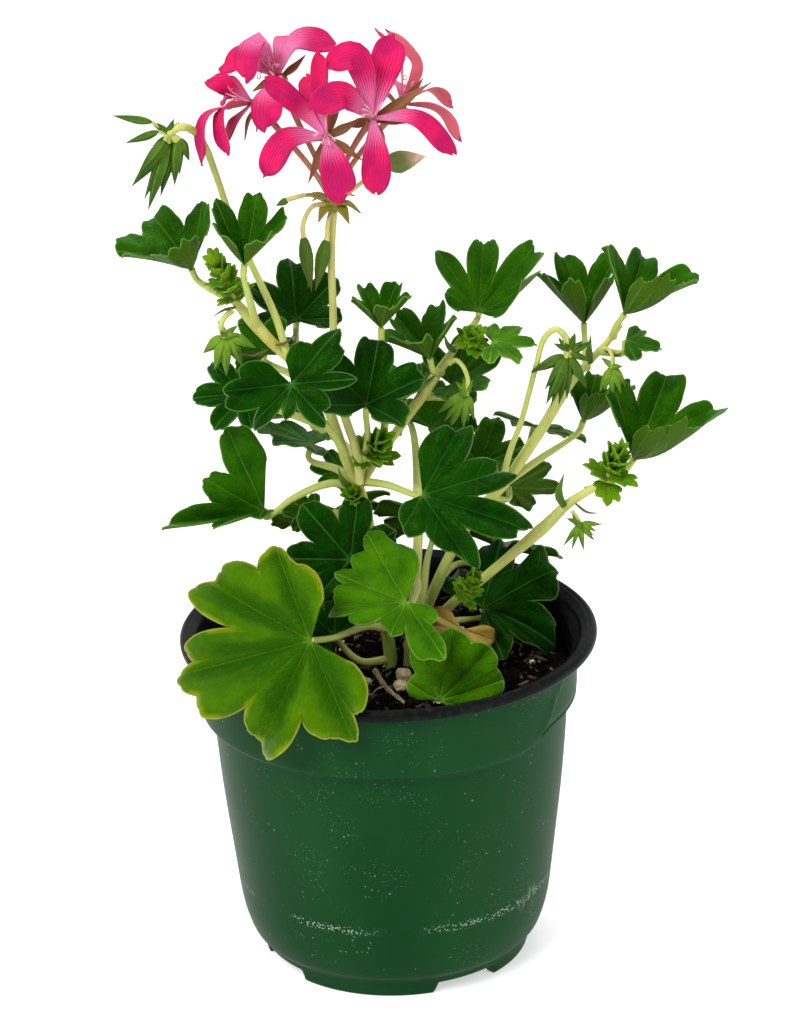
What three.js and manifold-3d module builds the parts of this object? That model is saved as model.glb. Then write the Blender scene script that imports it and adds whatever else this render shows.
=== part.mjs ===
import * as THREE from 'three';
import { mergeVertices } from 'three/addons/utils/BufferGeometryUtils.js';
import Module from 'manifold-3d';

// Potted ivy geranium in a round nursery pot. Millimetres, +Z up, -Y is the front.
// The pot stands on z = 0. Plant and pot are laid out round the pot's axis, and the
// whole is then moved so that the origin lies under the middle of its bounding box.

// Driving dimensions of the pot
const potHeight = 94.5;
const lipRadius = 57;
const lipDepth = 2.9;
const lipInner = 52.5;
const bandBottom = 72.5;
const bandRadius = 52;
const bandTopRadius = 53.4;
const shoulderRadius = 48.7;
const footRadius = 37;
const footHeight = 5;
const wall = 1.4;
const floorHeight = 7;
const footGapAngle = 29;
const footGapFirst = 31;
const footGapDepth = 3.4;
const potSides = 32;

// Driving dimensions of the soil and the plant
const soilLevel = 83;
const soilClear = 0.35;
const bladeThickness = 0.8;
const petalThickness = 0.7;
const bladeGap = 0.35;
const stalkRadius = 1.15;
const stalkEndRadius = 0.95;
const stalkSides = 3;
const stemSides = 5;
const stemHoleClear = 0.4;

// The pot's axis, measured from the middle of the whole plant's bounding box
const potOffset = [-13.35, 1.84];

const colours = {
  potGreen: 0x1f4e2e,
  soil: 0x2a1d15,
  perlite: 0xc9bda4,
  stem: 0xb9bf72,
  leafDark: 0x1d4a1a,
  leaf: 0x2a6420,
  leafBright: 0x3f8226,
  leafAged: 0x6f8f22,
  leafDying: 0xc0924a,
  petal: 0xe0266f,
  bud: 0x4c7f2c,
  flowerStalk: 0x8f8f4c,
  twig: 0x6b5238,
};

const wasm = await Module();
wasm.setup();

const radians = THREE.MathUtils.degToRad;
const vector = (p) => new THREE.Vector3(...p);

function meshFrom(positions, faces) {
  const geometry = new THREE.BufferGeometry();
  geometry.setAttribute('position', new THREE.Float32BufferAttribute(positions.flat(), 3));
  geometry.setIndex(faces.flat());
  return geometry;
}

function toSolid(geometry) {
  const bare = geometry.clone();
  bare.deleteAttribute('normal');
  bare.deleteAttribute('uv');
  const merged = mergeVertices(bare, 1e-4);
  return new wasm.Manifold(new wasm.Mesh({
    numProp: 3,
    vertProperties: new Float32Array(merged.attributes.position.array),
    triVerts: new Uint32Array(merged.index.array),
  }));
}

function toGeometry(solid) {
  const mesh = solid.getMesh();
  const geometry = new THREE.BufferGeometry();
  geometry.setAttribute('position', new THREE.BufferAttribute(mesh.vertProperties, 3));
  geometry.setIndex(new THREE.BufferAttribute(mesh.triVerts, 1));
  return geometry;
}

// Joined solids may hold a loose scrap: only the largest body is kept
function join(solids) {
  let whole = solids[0];
  for (const next of solids.slice(1)) {
    whole = whole.add(next);
  }
  const bodies = whole.decompose();
  bodies.sort((a, b) => b.volume() - a.volume());
  return bodies[0];
}

function matte(colour, roughness = 0.6) {
  return new THREE.MeshStandardMaterial({
    color: colour,
    roughness,
    metalness: 0,
    side: THREE.DoubleSide,
    flatShading: true,
  });
}

const plant = new THREE.Group();

function addNode(name, solid, colour, roughness) {
  const mesh = new THREE.Mesh(toGeometry(solid), matte(colour, roughness));
  mesh.name = name;
  plant.add(mesh);
}

// A round stem through hand-set points, its radius running through a short list
function stemSolid(points, radii, sides, rings) {
  const curve = new THREE.CatmullRomCurve3(points.map(vector), false, 'centripetal');
  const frames = curve.computeFrenetFrames(rings, false);
  const positions = [];
  const faces = [];
  for (let i = 0; i <= rings; i++) {
    const along = i / rings;
    const centre = curve.getPointAt(along);
    const place = along * (radii.length - 1);
    const left = Math.min(Math.floor(place), radii.length - 2);
    const radius = THREE.MathUtils.lerp(radii[left], radii[left + 1], place - left);
    for (let j = 0; j < sides; j++) {
      const angle = (j / sides) * 2 * Math.PI;
      const offset = frames.normals[i].clone().multiplyScalar(radius * Math.cos(angle));
      offset.addScaledVector(frames.binormals[i], radius * Math.sin(angle));
      positions.push(centre.clone().add(offset).toArray());
    }
  }
  for (let i = 0; i < rings; i++) {
    for (let j = 0; j < sides; j++) {
      const a = i * sides + j;
      const b = i * sides + (j + 1) % sides;
      faces.push([a, b, b + sides], [a, b + sides, a + sides]);
    }
  }
  const first = positions.push(curve.getPointAt(0).toArray()) - 1;
  const last = positions.push(curve.getPointAt(1).toArray()) - 1;
  const end = rings * sides;
  for (let j = 0; j < sides; j++) {
    const k = (j + 1) % sides;
    faces.push([first, k, j], [last, end + j, end + k]);
  }
  return toSolid(meshFrom(positions, faces));
}

// Leaf: 5 lobes spread like a hand, each with two shoulders, round sinuses between
const fiveLobes = [[-98, 0.74], [-49, 0.92], [0, 1], [49, 0.92], [98, 0.74]];
const usualSpread = 45;
const sinusDepth = 0.6;
const shoulderDepth = 0.92;
const shoulderSpan = 0.25;
const baseSpan = 26;
const baseDepth = 0.55;
const innerRing = 0.55;
const widestBase = 168;

function leafOutline(leaf) {
  const lobes = leaf.lobes ?? fiveLobes;
  const points = [];
  lobes.forEach(([angle, reach], i) => {
    const before = i > 0 ? angle - lobes[i - 1][0] : 2 * baseSpan;
    const after = i < lobes.length - 1 ? lobes[i + 1][0] - angle : 2 * baseSpan;
    if (i === 0) {
      points.push([angle - baseSpan, reach * baseDepth]);
    }
    if (leaf.plain) {
      points.push([angle, reach]);
    } else {
      points.push([angle - before * shoulderSpan, reach * shoulderDepth]);
      points.push([angle, reach]);
      points.push([angle + after * shoulderSpan, reach * shoulderDepth]);
    }
    if (i < lobes.length - 1) {
      const notch = (1 - (leaf.sinus ?? sinusDepth)) * Math.min(1, after / usualSpread);
      const depth = (reach + lobes[i + 1][1]) / 2 * (1 - notch);
      points.push([angle + after / 2, depth]);
    } else {
      points.push([angle + baseSpan, reach * baseDepth]);
    }
  });
  return points.map(([angle, reach]) => [radians(angle), reach * leaf.size]);
}

// The flat blade is cupped into a bowl or funnel, folded on its midrib and waved
function bladePoint(leaf, angle, reach) {
  const share = reach / leaf.size;
  const slope = radians((leaf.cup ?? 0) + (leaf.curl ?? 0) * share);
  const turn = angle * leaf.gather;
  const flat = reach * Math.cos(slope);
  const fold = radians(leaf.fold ?? 0);
  const side = flat * Math.sin(turn);
  const wave = (leaf.wave ?? 0.06) * leaf.size * share * share * Math.sin(angle * 7.3 + leaf.seed);
  const rise = reach * Math.sin(slope) + wave + Math.abs(side) * Math.sin(fold);
  return new THREE.Vector3(side * Math.cos(fold), flat * Math.cos(turn), rise);
}

function bladeNormal(leaf, angle, reach) {
  const step = 0.02;
  const along = bladePoint(leaf, angle, reach * (1 + step)).sub(bladePoint(leaf, angle, reach));
  const across = bladePoint(leaf, angle + step, reach).sub(bladePoint(leaf, angle - step, reach));
  return across.cross(along).normalize();
}

function leafFrame(leaf) {
  const up = vector(leaf.face).normalize();
  const toward = vector(leaf.toward);
  toward.addScaledVector(up, -toward.dot(up)).normalize();
  const side = toward.clone().cross(up);
  const frame = new THREE.Matrix4().makeBasis(side, toward, up);
  return frame.setPosition(vector(leaf.at));
}

function bladeSolid(settings) {
  const leaf = { seed: 0, ...settings };
  const outline = leafOutline(leaf);
  const widest = outline[outline.length - 1][0];
  const meanSlope = radians((leaf.cup ?? 0) + (leaf.curl ?? 0) * 0.7);
  leaf.gather = Math.min(1 / Math.cos(meanSlope), radians(widestBase) / widest);
  const rings = leaf.rings ?? 2;
  const count = outline.length;
  const half = (leaf.thickness ?? bladeThickness) / 2;
  const frame = leafFrame(leaf);
  const top = [];
  const bottom = [];
  const steep = Math.min(2, 1 / Math.cos(radians(leaf.cup ?? 0)));
  top.push(new THREE.Vector3(0, 0, half * steep));
  bottom.push(new THREE.Vector3(0, 0, -half * steep));
  for (let ring = 1; ring <= rings; ring++) {
    for (const [angle, reach] of outline) {
      const at = reach * (ring === rings ? 1 : innerRing);
      const point = bladePoint(leaf, angle, at);
      const normal = bladeNormal(leaf, angle, at).multiplyScalar(half);
      top.push(point.clone().add(normal));
      bottom.push(point.clone().sub(normal));
    }
  }
  const total = top.length;
  const positions = [...top, ...bottom].map((p) => p.applyMatrix4(frame).toArray());
  const upper = [];
  const ringStart = (ring) => 1 + (ring - 1) * count;
  for (let i = 0; i < count - 1; i++) {
    upper.push([0, ringStart(1) + i + 1, ringStart(1) + i]);
    for (let ring = 2; ring <= rings; ring++) {
      const a = ringStart(ring - 1) + i;
      const b = ringStart(ring) + i;
      upper.push([a, a + 1, b + 1], [a, b + 1, b]);
    }
  }
  const rim = [0];
  for (let ring = 1; ring < rings; ring++) {
    rim.push(ringStart(ring));
  }
  for (let i = 0; i < count; i++) {
    rim.push(ringStart(rings) + i);
  }
  for (let ring = rings - 1; ring > 0; ring--) {
    rim.push(ringStart(ring) + count - 1);
  }
  const faces = [...upper];
  for (const [a, b, c] of upper) {
    faces.push([a + total, c + total, b + total]);
  }
  rim.forEach((a, i) => {
    const b = rim[(i + 1) % rim.length];
    faces.push([a, b, b + total], [a, b + total, a + total]);
  });
  return toSolid(meshFrom(positions, faces));
}

// Petal, sepal or bract: a strap on a bent path, bulging sideways to a round or sharp tip
function strapSolid(strap) {
  const { from, via, to, width, face } = strap;
  const stations = strap.stations ?? 5;
  const widest = strap.widest ?? 0.62;
  const claw = strap.claw ?? 0.3;
  const tipShare = strap.pointed ? 0.12 : 0.38;
  const across = strap.flat ? [-1, 1] : [-1, 0, 1];
  const half = (strap.thickness ?? petalThickness) / 2;
  const curve = new THREE.CatmullRomCurve3([from, via, to].map(vector));
  const hint = vector(face).normalize();
  const top = [];
  const bottom = [];
  for (let i = 0; i < stations; i++) {
    const u = i / (stations - 1);
    const centre = curve.getPointAt(u);
    const tangent = curve.getTangentAt(u);
    const side = tangent.clone().cross(hint).normalize();
    const normal = side.clone().cross(tangent).normalize();
    let share = claw + (1 - claw) * Math.sin(Math.min(u / widest, 1) * Math.PI / 2);
    if (u > widest) {
      const over = (u - widest) / (1 - widest);
      share = strap.pointed ? 1 - over : Math.sqrt(1 - over * over);
    }
    share = Math.max(share, tipShare);
    for (const edge of across) {
      const point = centre.clone().addScaledVector(side, edge * share * width / 2);
      point.addScaledVector(normal, Math.abs(edge) * (strap.cup ?? 0.12) * share * width / 2);
      top.push(point.clone().addScaledVector(normal, half));
      bottom.push(point.clone().addScaledVector(normal, -half));
    }
  }
  const total = top.length;
  const row = across.length;
  const upper = [];
  for (let i = 0; i < stations - 1; i++) {
    for (let j = 0; j < row - 1; j++) {
      const a = i * row + j;
      const b = a + row;
      upper.push([a, a + 1, b + 1], [a, b + 1, b]);
    }
  }
  const rim = [];
  for (let j = row - 1; j >= 0; j--) {
    rim.push(j);
  }
  for (let i = 1; i < stations; i++) {
    rim.push(i * row);
  }
  for (let j = 1; j < row; j++) {
    rim.push((stations - 1) * row + j);
  }
  for (let i = stations - 2; i > 0; i--) {
    rim.push(i * row + row - 1);
  }
  const faces = [...upper];
  for (const [a, b, c] of upper) {
    faces.push([a + total, c + total, b + total]);
  }
  rim.forEach((a, i) => {
    const b = rim[(i + 1) % rim.length];
    faces.push([a, b, b + total], [a, b + total, a + total]);
  });
  const positions = [...top, ...bottom].map((p) => p.toArray());
  return toSolid(meshFrom(positions, faces));
}

// Closed bud: a spindle from its stalk to its pointed tip
function budSolid(from, to, radius) {
  const middle = vector(from).lerp(vector(to), 0.5).toArray();
  const profile = [0.45, 1, 0.85, 0.12].map((share) => share * radius);
  return stemSolid([from, middle, to], profile, 4, 3);
}

// Pot: a thin shell with a rounded foot, a shoulder, an upper band and a rolled lip
function potSolid() {
  const footInner = footRadius - 3;
  const profile = [
    [0, floorHeight - 2.6],
    [footInner - 1.2, floorHeight - 2.6],
    [footInner, 0],
    [footRadius, 0],
    [footRadius + 0.8, footHeight],
    [footRadius + 3.8, footHeight + 2.6],
    [footRadius + 6, 15],
    [footRadius + 7.5, 28],
    [shoulderRadius, bandBottom - 1.8],
    [shoulderRadius + 1.6, bandBottom - 0.6],
    [bandRadius, bandBottom + 1],
    [bandTopRadius, potHeight - lipDepth - 0.9],
    [lipRadius - 0.5, potHeight - lipDepth - 0.2],
    [lipRadius, potHeight - lipDepth / 2],
    [lipRadius - 1.6, potHeight],
    [lipInner, potHeight - 1.8],
    [bandTopRadius - wall - 0.2, potHeight - lipDepth - 1.6],
    [bandRadius - wall, bandBottom + 1.6],
    [shoulderRadius - wall, bandBottom - 1],
    [footRadius + 7 - wall, 27],
    [footRadius + 5.4 - wall, 15],
    [footRadius + 2.6 - wall, floorHeight + 2],
    [footRadius - 1.6, floorHeight],
    [0, floorHeight],
  ].map(([r, z]) => new THREE.Vector2(r, z));
  let pot = toSolid(new THREE.LatheGeometry(profile, potSides).rotateX(Math.PI / 2));
  // Drain gaps cut the foot ring in four places
  const gapWidth = 2 * footRadius * Math.sin(radians(footGapAngle / 2));
  for (let i = 0; i < 4; i++) {
    const gap = new THREE.BoxGeometry(gapWidth, 12, 2 * footGapDepth);
    gap.translate(0, -footRadius, 0);
    gap.rotateZ(radians(footGapFirst + 90 * i));
    pot = pot.subtract(toSolid(gap));
  }
  // Moulded lug down the right side of the band
  const lug = new THREE.SphereGeometry(1, 8, 6).scale(3, 5, 9.5);
  lug.rotateX(radians(-14));
  lug.translate(bandRadius - 0.6, 0, bandBottom + 9.4);
  lug.rotateZ(radians(-14));
  const hollow = new THREE.CylinderGeometry(bandRadius - wall, bandRadius - wall, 40, potSides);
  hollow.rotateX(Math.PI / 2).translate(0, 0, bandBottom + 9.4);
  return pot.add(toSolid(lug).subtract(toSolid(hollow)));
}

// Soil fills the pot's inside, its top gently uneven
function soilBody() {
  const profile = [
    [0, floorHeight + soilClear],
    [footRadius - 2, floorHeight + soilClear],
    [footRadius + 4.2 - wall, 14],
    [shoulderRadius - wall - 0.6, bandBottom - 1],
    [bandRadius - wall - 0.6, bandBottom + 3],
    [bandRadius - wall - 0.1, soilLevel - 0.6],
    [42, soilLevel],
    [22, soilLevel],
    [0, soilLevel],
  ].map(([r, z]) => new THREE.Vector2(r, z));
  const geometry = new THREE.LatheGeometry(profile, potSides).rotateX(Math.PI / 2);
  const place = geometry.attributes.position;
  for (let i = 0; i < place.count; i++) {
    const [x, y, z] = [place.getX(i), place.getY(i), place.getZ(i)];
    if (z > soilLevel - 0.1) {
      const bumps = Math.sin(x * 0.31 + 1) * Math.cos(y * 0.27) + 0.6 * Math.sin((x - y) * 0.19);
      const mound = 1.6 * Math.exp(-(x * x + y * y) / 500);
      place.setZ(i, z + 0.9 * bumps + mound);
    }
  }
  return toSolid(geometry);
}

function chipSolid({ at, size, turn }, grow = 0) {
  const chip = new THREE.IcosahedronGeometry(1, 0);
  chip.scale(size[0] / 2 + grow, size[1] / 2 + grow, size[2] / 2 + grow);
  chip.rotateZ(radians(turn)).translate(...at);
  return toSolid(chip);
}

// Stems, from the soil up. Each also carries the stalks of its leaves and its shoot tips
const stems = {
  stem_left: {
    parts: [
      { points: [[1, -6, 74], [0, -6, 92], [-3, -6, 110], [-5, -7, 126], [-7, -8, 138],
        [-10, -9, 147], [-15, -12, 164], [-22, -14, 175], [-29, -15, 183], [-37, -17, 194],
        [-41, -18, 199]], radii: [1.9, 1.9, 1.7, 1.6, 2.4, 1.6, 1.5, 1.5, 1.4, 1.8, 0.8] },
      { points: [[-7, -8, 138], [-2, -5, 145], [5, -1, 153], [16, 4, 167], [22, 6, 175],
        [24, 5, 178]], radii: [1.5, 1.4, 1.3, 1.7, 1.2, 0.8] },
    ],
    tufts: [
      { at: [-41, -18, 199], toward: [-0.4, -0.2, 0.9], size: 8, seed: 1 },
      { at: [-1, -4, 144], toward: [0.5, -0.6, 0.7], size: 7, seed: 2 },
      { at: [24, 4, 177], toward: [0.2, -0.9, 0.3], size: 5, seed: 3 },
    ],
  },
  stem_centre: {
    parts: [
      { points: [[5, -8, 74], [6, -6, 92], [8, -5, 112], [9, -5, 127], [9, -5, 137]],
        radii: [1.9, 1.8, 1.5, 1.4, 1.5] },
    ],
    tufts: [],
  },
  stem_right: {
    parts: [
      { points: [[7, 2, 74], [9, 2, 92], [14, 2, 107], [23, 4, 123], [33, 5, 134], [42, 6, 147],
        [50, 7, 160], [55, 7, 166], [61, 6, 173], [64, 5, 177.6]],
      radii: [1.9, 1.8, 1.6, 1.5, 1.7, 1.5, 1.5, 1.6, 1.1, 0.85] },
    ],
    tufts: [],
  },
  stem_low_right: {
    parts: [
      { points: [[8, -3, 74], [9, -4, 90], [15, -5, 100], [27, -6, 111], [43, -6, 125],
        [49, -6, 131], [57, -8, 137.2], [60, -9.4, 140.4]],
      radii: [1.9, 1.7, 1.5, 1.4, 1.4, 1.9, 1.3, 1] },
    ],
    tufts: [
      { at: [60, -9.4, 140.4], toward: [0.1, -0.7, 0.7], size: 8.5, seed: 5 },
    ],
  },
};

// Leaves: where the stalk meets the blade, the way the upper face looks, the way the
// middle lobe points, its length, and the stalk's route from its stem
const leaves = [
  { name: 'leaf_top_left', stem: 'stem_left', at: [-48, -18, 204], face: [-0.3, -0.32, 0.9],
    toward: [-1, -0.1, 0.15], size: 20.5, cup: 30, curl: 10, stalk: [[-38, -17, 195], [-43, -18, 198]] },
  { name: 'leaf_top_left_inner', stem: 'stem_left', at: [-34, -24, 206.5], face: [0.1, -0.25, 1],
    toward: [0.2, 0.9, 0.1], size: 19, cup: 50, curl: 6, seed: 2, stalk: [[-32, -16, 187], [-33, -21, 195]] },
  { name: 'leaf_behind_flower_stalk', stem: 'stem_left', at: [-22, 4, 181.6], face: [0.1, -0.6, 0.8],
    toward: [-0.1, 0.6, 0.8], size: 17.5, cup: 22, seed: 3, rings: 1,
    stalk: [[-22, -14, 175], [-22, -4, 174]] },
  { name: 'leaf_left_outer', stem: 'stem_left', at: [-36, -12, 167], face: [-0.15, -0.75, 0.65],
    toward: [-1, -0.1, 0.05], size: 14, cup: 10, seed: 4, rings: 1, stalk: [[-12, -10, 155], [-22, -9, 159]] },
  { name: 'leaf_left_front', stem: 'stem_left', at: [-23, -28, 175], face: [0, -0.85, 0.5],
    toward: [-0.05, -0.4, -0.9], size: 19, cup: 5, seed: 5,
    lobes: [[-135, 1], [-92, 1], [-42, 0.75], [24, 0.64], [72, 0.88], [106, 0.82]],
    stalk: [[-8, -8, 142], [-13, -17, 157]] },
  { name: 'leaf_left_back', stem: 'stem_left', at: [-30.5, -9, 176.8], face: [0, -0.7, 0.7],
    toward: [-0.4, 0.4, 0.8], size: 12.5, cup: 15, seed: 6, rings: 1,
    stalk: [[-18, -13, 170], [-24, -8, 171]] },
  { name: 'leaf_left_flat', stem: 'stem_left', at: [-19, -3, 149], face: [0.25, 0.1, 0.95],
    toward: [-0.93, 0.1, 0.37], size: 16.5, cup: 6, seed: 7, rings: 1, stalk: [[-8, -8, 140], [-12, -7, 143]] },
  { name: 'small_leaf_node', stem: 'stem_left', fused: true, at: [-11, -2, 141],
    face: [0, -0.5, 0.8], toward: [-1, 0, 0.3], size: 9, seed: 8, rings: 1, stalk: [[-7, -8, 138]] },
  { name: 'leaf_folded', stem: 'stem_left', at: [-32, -12, 134], face: [-0.1, -0.62, 0.78],
    toward: [-0.95, 0, -0.3], size: 26, fold: 38, seed: 9, sinus: 0.52,
    lobes: [[-89, 0.8], [-45, 0.9], [0, 1], [46, 0.64], [78, 0.92]],
    stalk: [[-7, -8, 138], [-14, -9, 140], [-24, -11, 137]] },
  { name: 'leaf_centre_cup', stem: 'stem_left', at: [-4, -18, 165], face: [0.05, -0.55, 0.83],
    toward: [0.2, 0.6, 0.7], size: 19, cup: 32, seed: 10, rings: 1, stalk: [[-7, -8, 140], [-4, -14, 154]] },
  { name: 'leaf_centre_funnel', stem: 'stem_left', at: [0.4, -9, 183.4], face: [0, -0.1, 1],
    toward: [0.5, 0.8, 0], size: 14, cup: 52, seed: 11, rings: 1, stalk: [[0, -4, 147], [1, -9, 164]] },
  { name: 'leaf_centre_shoot', stem: 'stem_left', at: [13, -1, 171.8], face: [-0.24, -0.1, 1],
    toward: [-0.6, 0.7, 0.3], size: 16.6, cup: 48, seed: 12, rings: 1, stalk: [[16, 4, 166]] },
  { name: 'leaf_centre_top', stem: 'stem_left', at: [26.5, 9, 181], face: [0.05, -0.72, 0.68],
    toward: [0.42, 0.5, 0.75], size: 24.5, cup: 18, seed: 13,
    lobes: [[-92, 0.5], [-57, 0.74], [-22, 0.82], [14, 0.95], [42, 1], [68, 0.9]], stalk: [[22, 6, 174]] },
  { name: 'small_leaf_shoot', stem: 'stem_left', at: [30, -2, 176],
    face: [0, -0.3, 0.95], toward: [1, -0.1, 0.15], size: 11.5, rings: 1, colour: 'leafBright',
    stalk: [[22, 6, 173]] },
  { name: 'leaf_centre_right', stem: 'stem_left', at: [19, 10, 160.2], face: [-0.1, -0.4, 0.9],
    toward: [1, 0.1, 0.25], size: 17, cup: 28, seed: 14, rings: 1, stalk: [[12, 2, 160]] },
  { name: 'leaf_centre_dark', stem: 'stem_centre', at: [13, 10, 148], face: [-0.2, -0.55, 0.8],
    toward: [0.85, 0.3, 0.5], size: 16, cup: 14, seed: 15, rings: 1, stalk: [[9, -5, 130], [11, 4, 141]] },
  { name: 'small_leaf_centre', stem: 'stem_left', fused: true, at: [6, 3, 159],
    face: [0.1, -0.1, 1], toward: [0.3, 0.8, 0], size: 11, cup: 45, rings: 1, stalk: [[4, -2, 151]] },
  { name: 'leaf_right_funnel', stem: 'stem_right', at: [55, 18, 174], face: [-0.05, -0.15, 1],
    toward: [-0.3, 0.9, 0], size: 21, cup: 54, seed: 16, rings: 1, stalk: [[55, 7, 165]] },
  { name: 'leaf_right_top', stem: 'stem_right', at: [65, 2.5, 181.5], face: [0.5, -0.2, 0.85],
    toward: [0.9, 0.4, 0], size: 23, cup: 44, seed: 17, rings: 1, stalk: [[62, 6, 174]] },
  { name: 'small_leaf_right', stem: 'stem_right', at: [65, 0.5, 174.5],
    face: [0.1, -0.35, 0.9], toward: [1, -0.2, 0], size: 10, rings: 1,
    lobes: [[-62, 0.8], [0, 1], [62, 0.8]], stalk: [[59, 6, 170]] },
  { name: 'leaf_right_middle', stem: 'stem_right', at: [54.5, 14, 147.5], face: [0.1, -0.1, 0.99],
    toward: [0.6, 0.8, 0], size: 18, cup: 48, seed: 18, rings: 1, stalk: [[32, 5, 133], [43, 9, 139]] },
  { name: 'leaf_right_end', stem: 'stem_low_right', at: [67, -3, 142.4], face: [0.42, -0.36, 0.84],
    toward: [0.95, 0.2, 0.1], size: 28, cup: 38, seed: 19, stalk: [[54, -6.6, 135], [61, -3, 136]] },
  { name: 'leaf_right_back', stem: 'stem_right', at: [26.5, 28.5, 129.5], face: [0.1, -0.35, 0.93],
    toward: [0.3, 0.8, 0.3], size: 15, cup: 36, seed: 20, rings: 1,
    stalk: [[20, 3, 119], [24, 16, 123]] },
  { name: 'leaf_right_upright', stem: 'stem_right', at: [34, 19.4, 126.6], face: [0, 0.8, 0.5],
    toward: [1, 0.2, -0.2], size: 15.5, cup: 8, seed: 21, rings: 1, stalk: [[25, 4, 125], [29.5, 12, 126]] },
  { name: 'leaf_inside_rim', stem: 'stem_low_right', at: [26, 5, 96.5], face: [-0.1, -0.55, 0.8],
    toward: [0.8, 0.4, 0.05], size: 24, cup: 12, curl: -10, wave: 0.11, seed: 22, colour: 'leafDark',
    stalk: [[9, -4, 90], [15, 1, 94]] },
  { name: 'leaf_dying', stem: 'stem_low_right', at: [20, -11, 97.5], face: [0.3, -0.7, 0.5],
    toward: [-0.3, -0.5, -0.6], size: 12, wave: 0.2, seed: 23, rings: 1, colour: 'leafDying',
    stalk: [[10, -4, 92]] },
  { name: 'leaf_front', stem: 'stem_centre', at: [5, -33, 115], face: [-0.05, -0.6, 0.8],
    toward: [-0.95, -0.1, 0.1], size: 22, cup: 3, seed: 24, colour: 'leafBright',
    lobes: [[-128, 0.85], [-80, 0.45], [-40, 0.46], [4, 1], [30, 0.97], [73, 1.05]],
    stalk: [[8, -5, 110], [8, -18, 112]] },
  { name: 'leaf_at_lip', stem: 'stem_centre', at: [13, -35, 87.6], face: [0.1, -0.95, 0.3],
    toward: [0.5, 0.2, 0.8], size: 19.5, cup: 4, seed: 26, rings: 2, colour: 'leafBright',
    lobes: [[-88, 0.45], [-44, 0.82], [-14, 1], [14, 1.02], [40, 0.95], [68, 0.6]], sinus: 0.7,
    stalk: [[7, -6, 90], [9, -16, 88], [12, -27, 87]] },
  { name: 'leaf_big_dark', stem: 'stem_left', at: [-9.6, -16, 121], face: [-0.05, -0.95, 0.28],
    toward: [-0.6, 0.2, 0.7], size: 19.5, cup: 3, seed: 27, colour: 'leafDark',
    stalk: [[-1, -6, 99], [-5, -9, 108]] },
  { name: 'leaf_low_dark', stem: 'stem_left', at: [-14.5, -12.5, 97.5], face: [0, -0.8, 0.5],
    toward: [-0.6, 0, 0.7], size: 14.5, cup: 5, seed: 28, rings: 1, colour: 'leafDark',
    stalk: [[0, -6, 87], [-8, -10, 88.5]] },
  { name: 'leaf_over_rim', stem: 'stem_left', at: [-20, -49, 112], face: [-0.2, -0.9, 0.4],
    toward: [-0.94, 0.1, -0.28], size: 38, cup: -3, seed: 29, colour: 'leafAged',
    lobes: [[-96, 0.78], [-48, 0.9], [0, 1], [38, 0.92], [77, 0.76]], sinus: 0.68,
    stalk: [[0, -6, 96], [-6, -20, 103], [-14, -36, 107]] },
  { name: 'leaf_middle_front', stem: 'stem_left', at: [10, -32, 145], face: [0.05, -0.85, 0.5],
    toward: [0.93, -0.1, -0.28], size: 27, cup: 4, seed: 30, colour: 'leafDark',
    lobes: [[-112, 0.5], [-80, 0.78], [-34, 0.87], [1, 1.08], [35, 0.84], [96, 0.45]],
    stalk: [[-6, -8, 140], [1, -19, 143]] },
  { name: 'small_leaf_left', stem: 'stem_left', fused: true, at: [-20, 5, 126.4],
    face: [0, -0.7, 0.7], toward: [-1, 0, 0.1], size: 8, rings: 1, stalk: [[-5, -7, 122]] },
  { name: 'leaf_back_left', stem: 'stem_left', at: [-20, 18, 150], face: [-0.3, 0.5, 0.8],
    toward: [-0.6, 0.7, 0.1], size: 21, cup: 20, seed: 31, rings: 1, stalk: [[-7, -8, 138], [-10, 6, 145]] },
  { name: 'leaf_back_centre', stem: 'stem_centre', at: [4, 26, 155], face: [0, 0.5, 0.85],
    toward: [0.1, 0.9, 0], size: 23, cup: 20, seed: 32, rings: 1, stalk: [[9, -5, 133], [8, 12, 147]] },
  { name: 'leaf_back_right', stem: 'stem_right', at: [42, 36, 138], face: [0.3, 0.4, 0.85],
    toward: [0.5, 0.8, -0.1], size: 22, cup: 14, seed: 33, rings: 1, stalk: [[35, 5, 137], [40, 20, 139]] },
  { name: 'leaf_back_low_left', stem: 'stem_left', at: [-14, 28, 118], face: [-0.2, 0.6, 0.75],
    toward: [-0.3, 0.9, -0.3], size: 22, cup: 8, seed: 34, rings: 1, stalk: [[0, -6, 93], [-3, 12, 108]] },
  { name: 'leaf_back_low_centre', stem: 'stem_right', at: [14, 34, 112], face: [0.1, 0.7, 0.7],
    toward: [0.2, 0.8, -0.4], size: 24, cup: 8, seed: 35, rings: 1, stalk: [[9, 2, 92], [11, 18, 105]] },
  { name: 'leaf_back_low_right', stem: 'stem_right', at: [33, 24, 106], face: [0.3, 0.4, 0.85],
    toward: [0.7, 0.7, -0.1], size: 18, cup: 14, seed: 36, rings: 1, stalk: [[10, 2, 97], [19, 19, 104]] },
];

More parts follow.
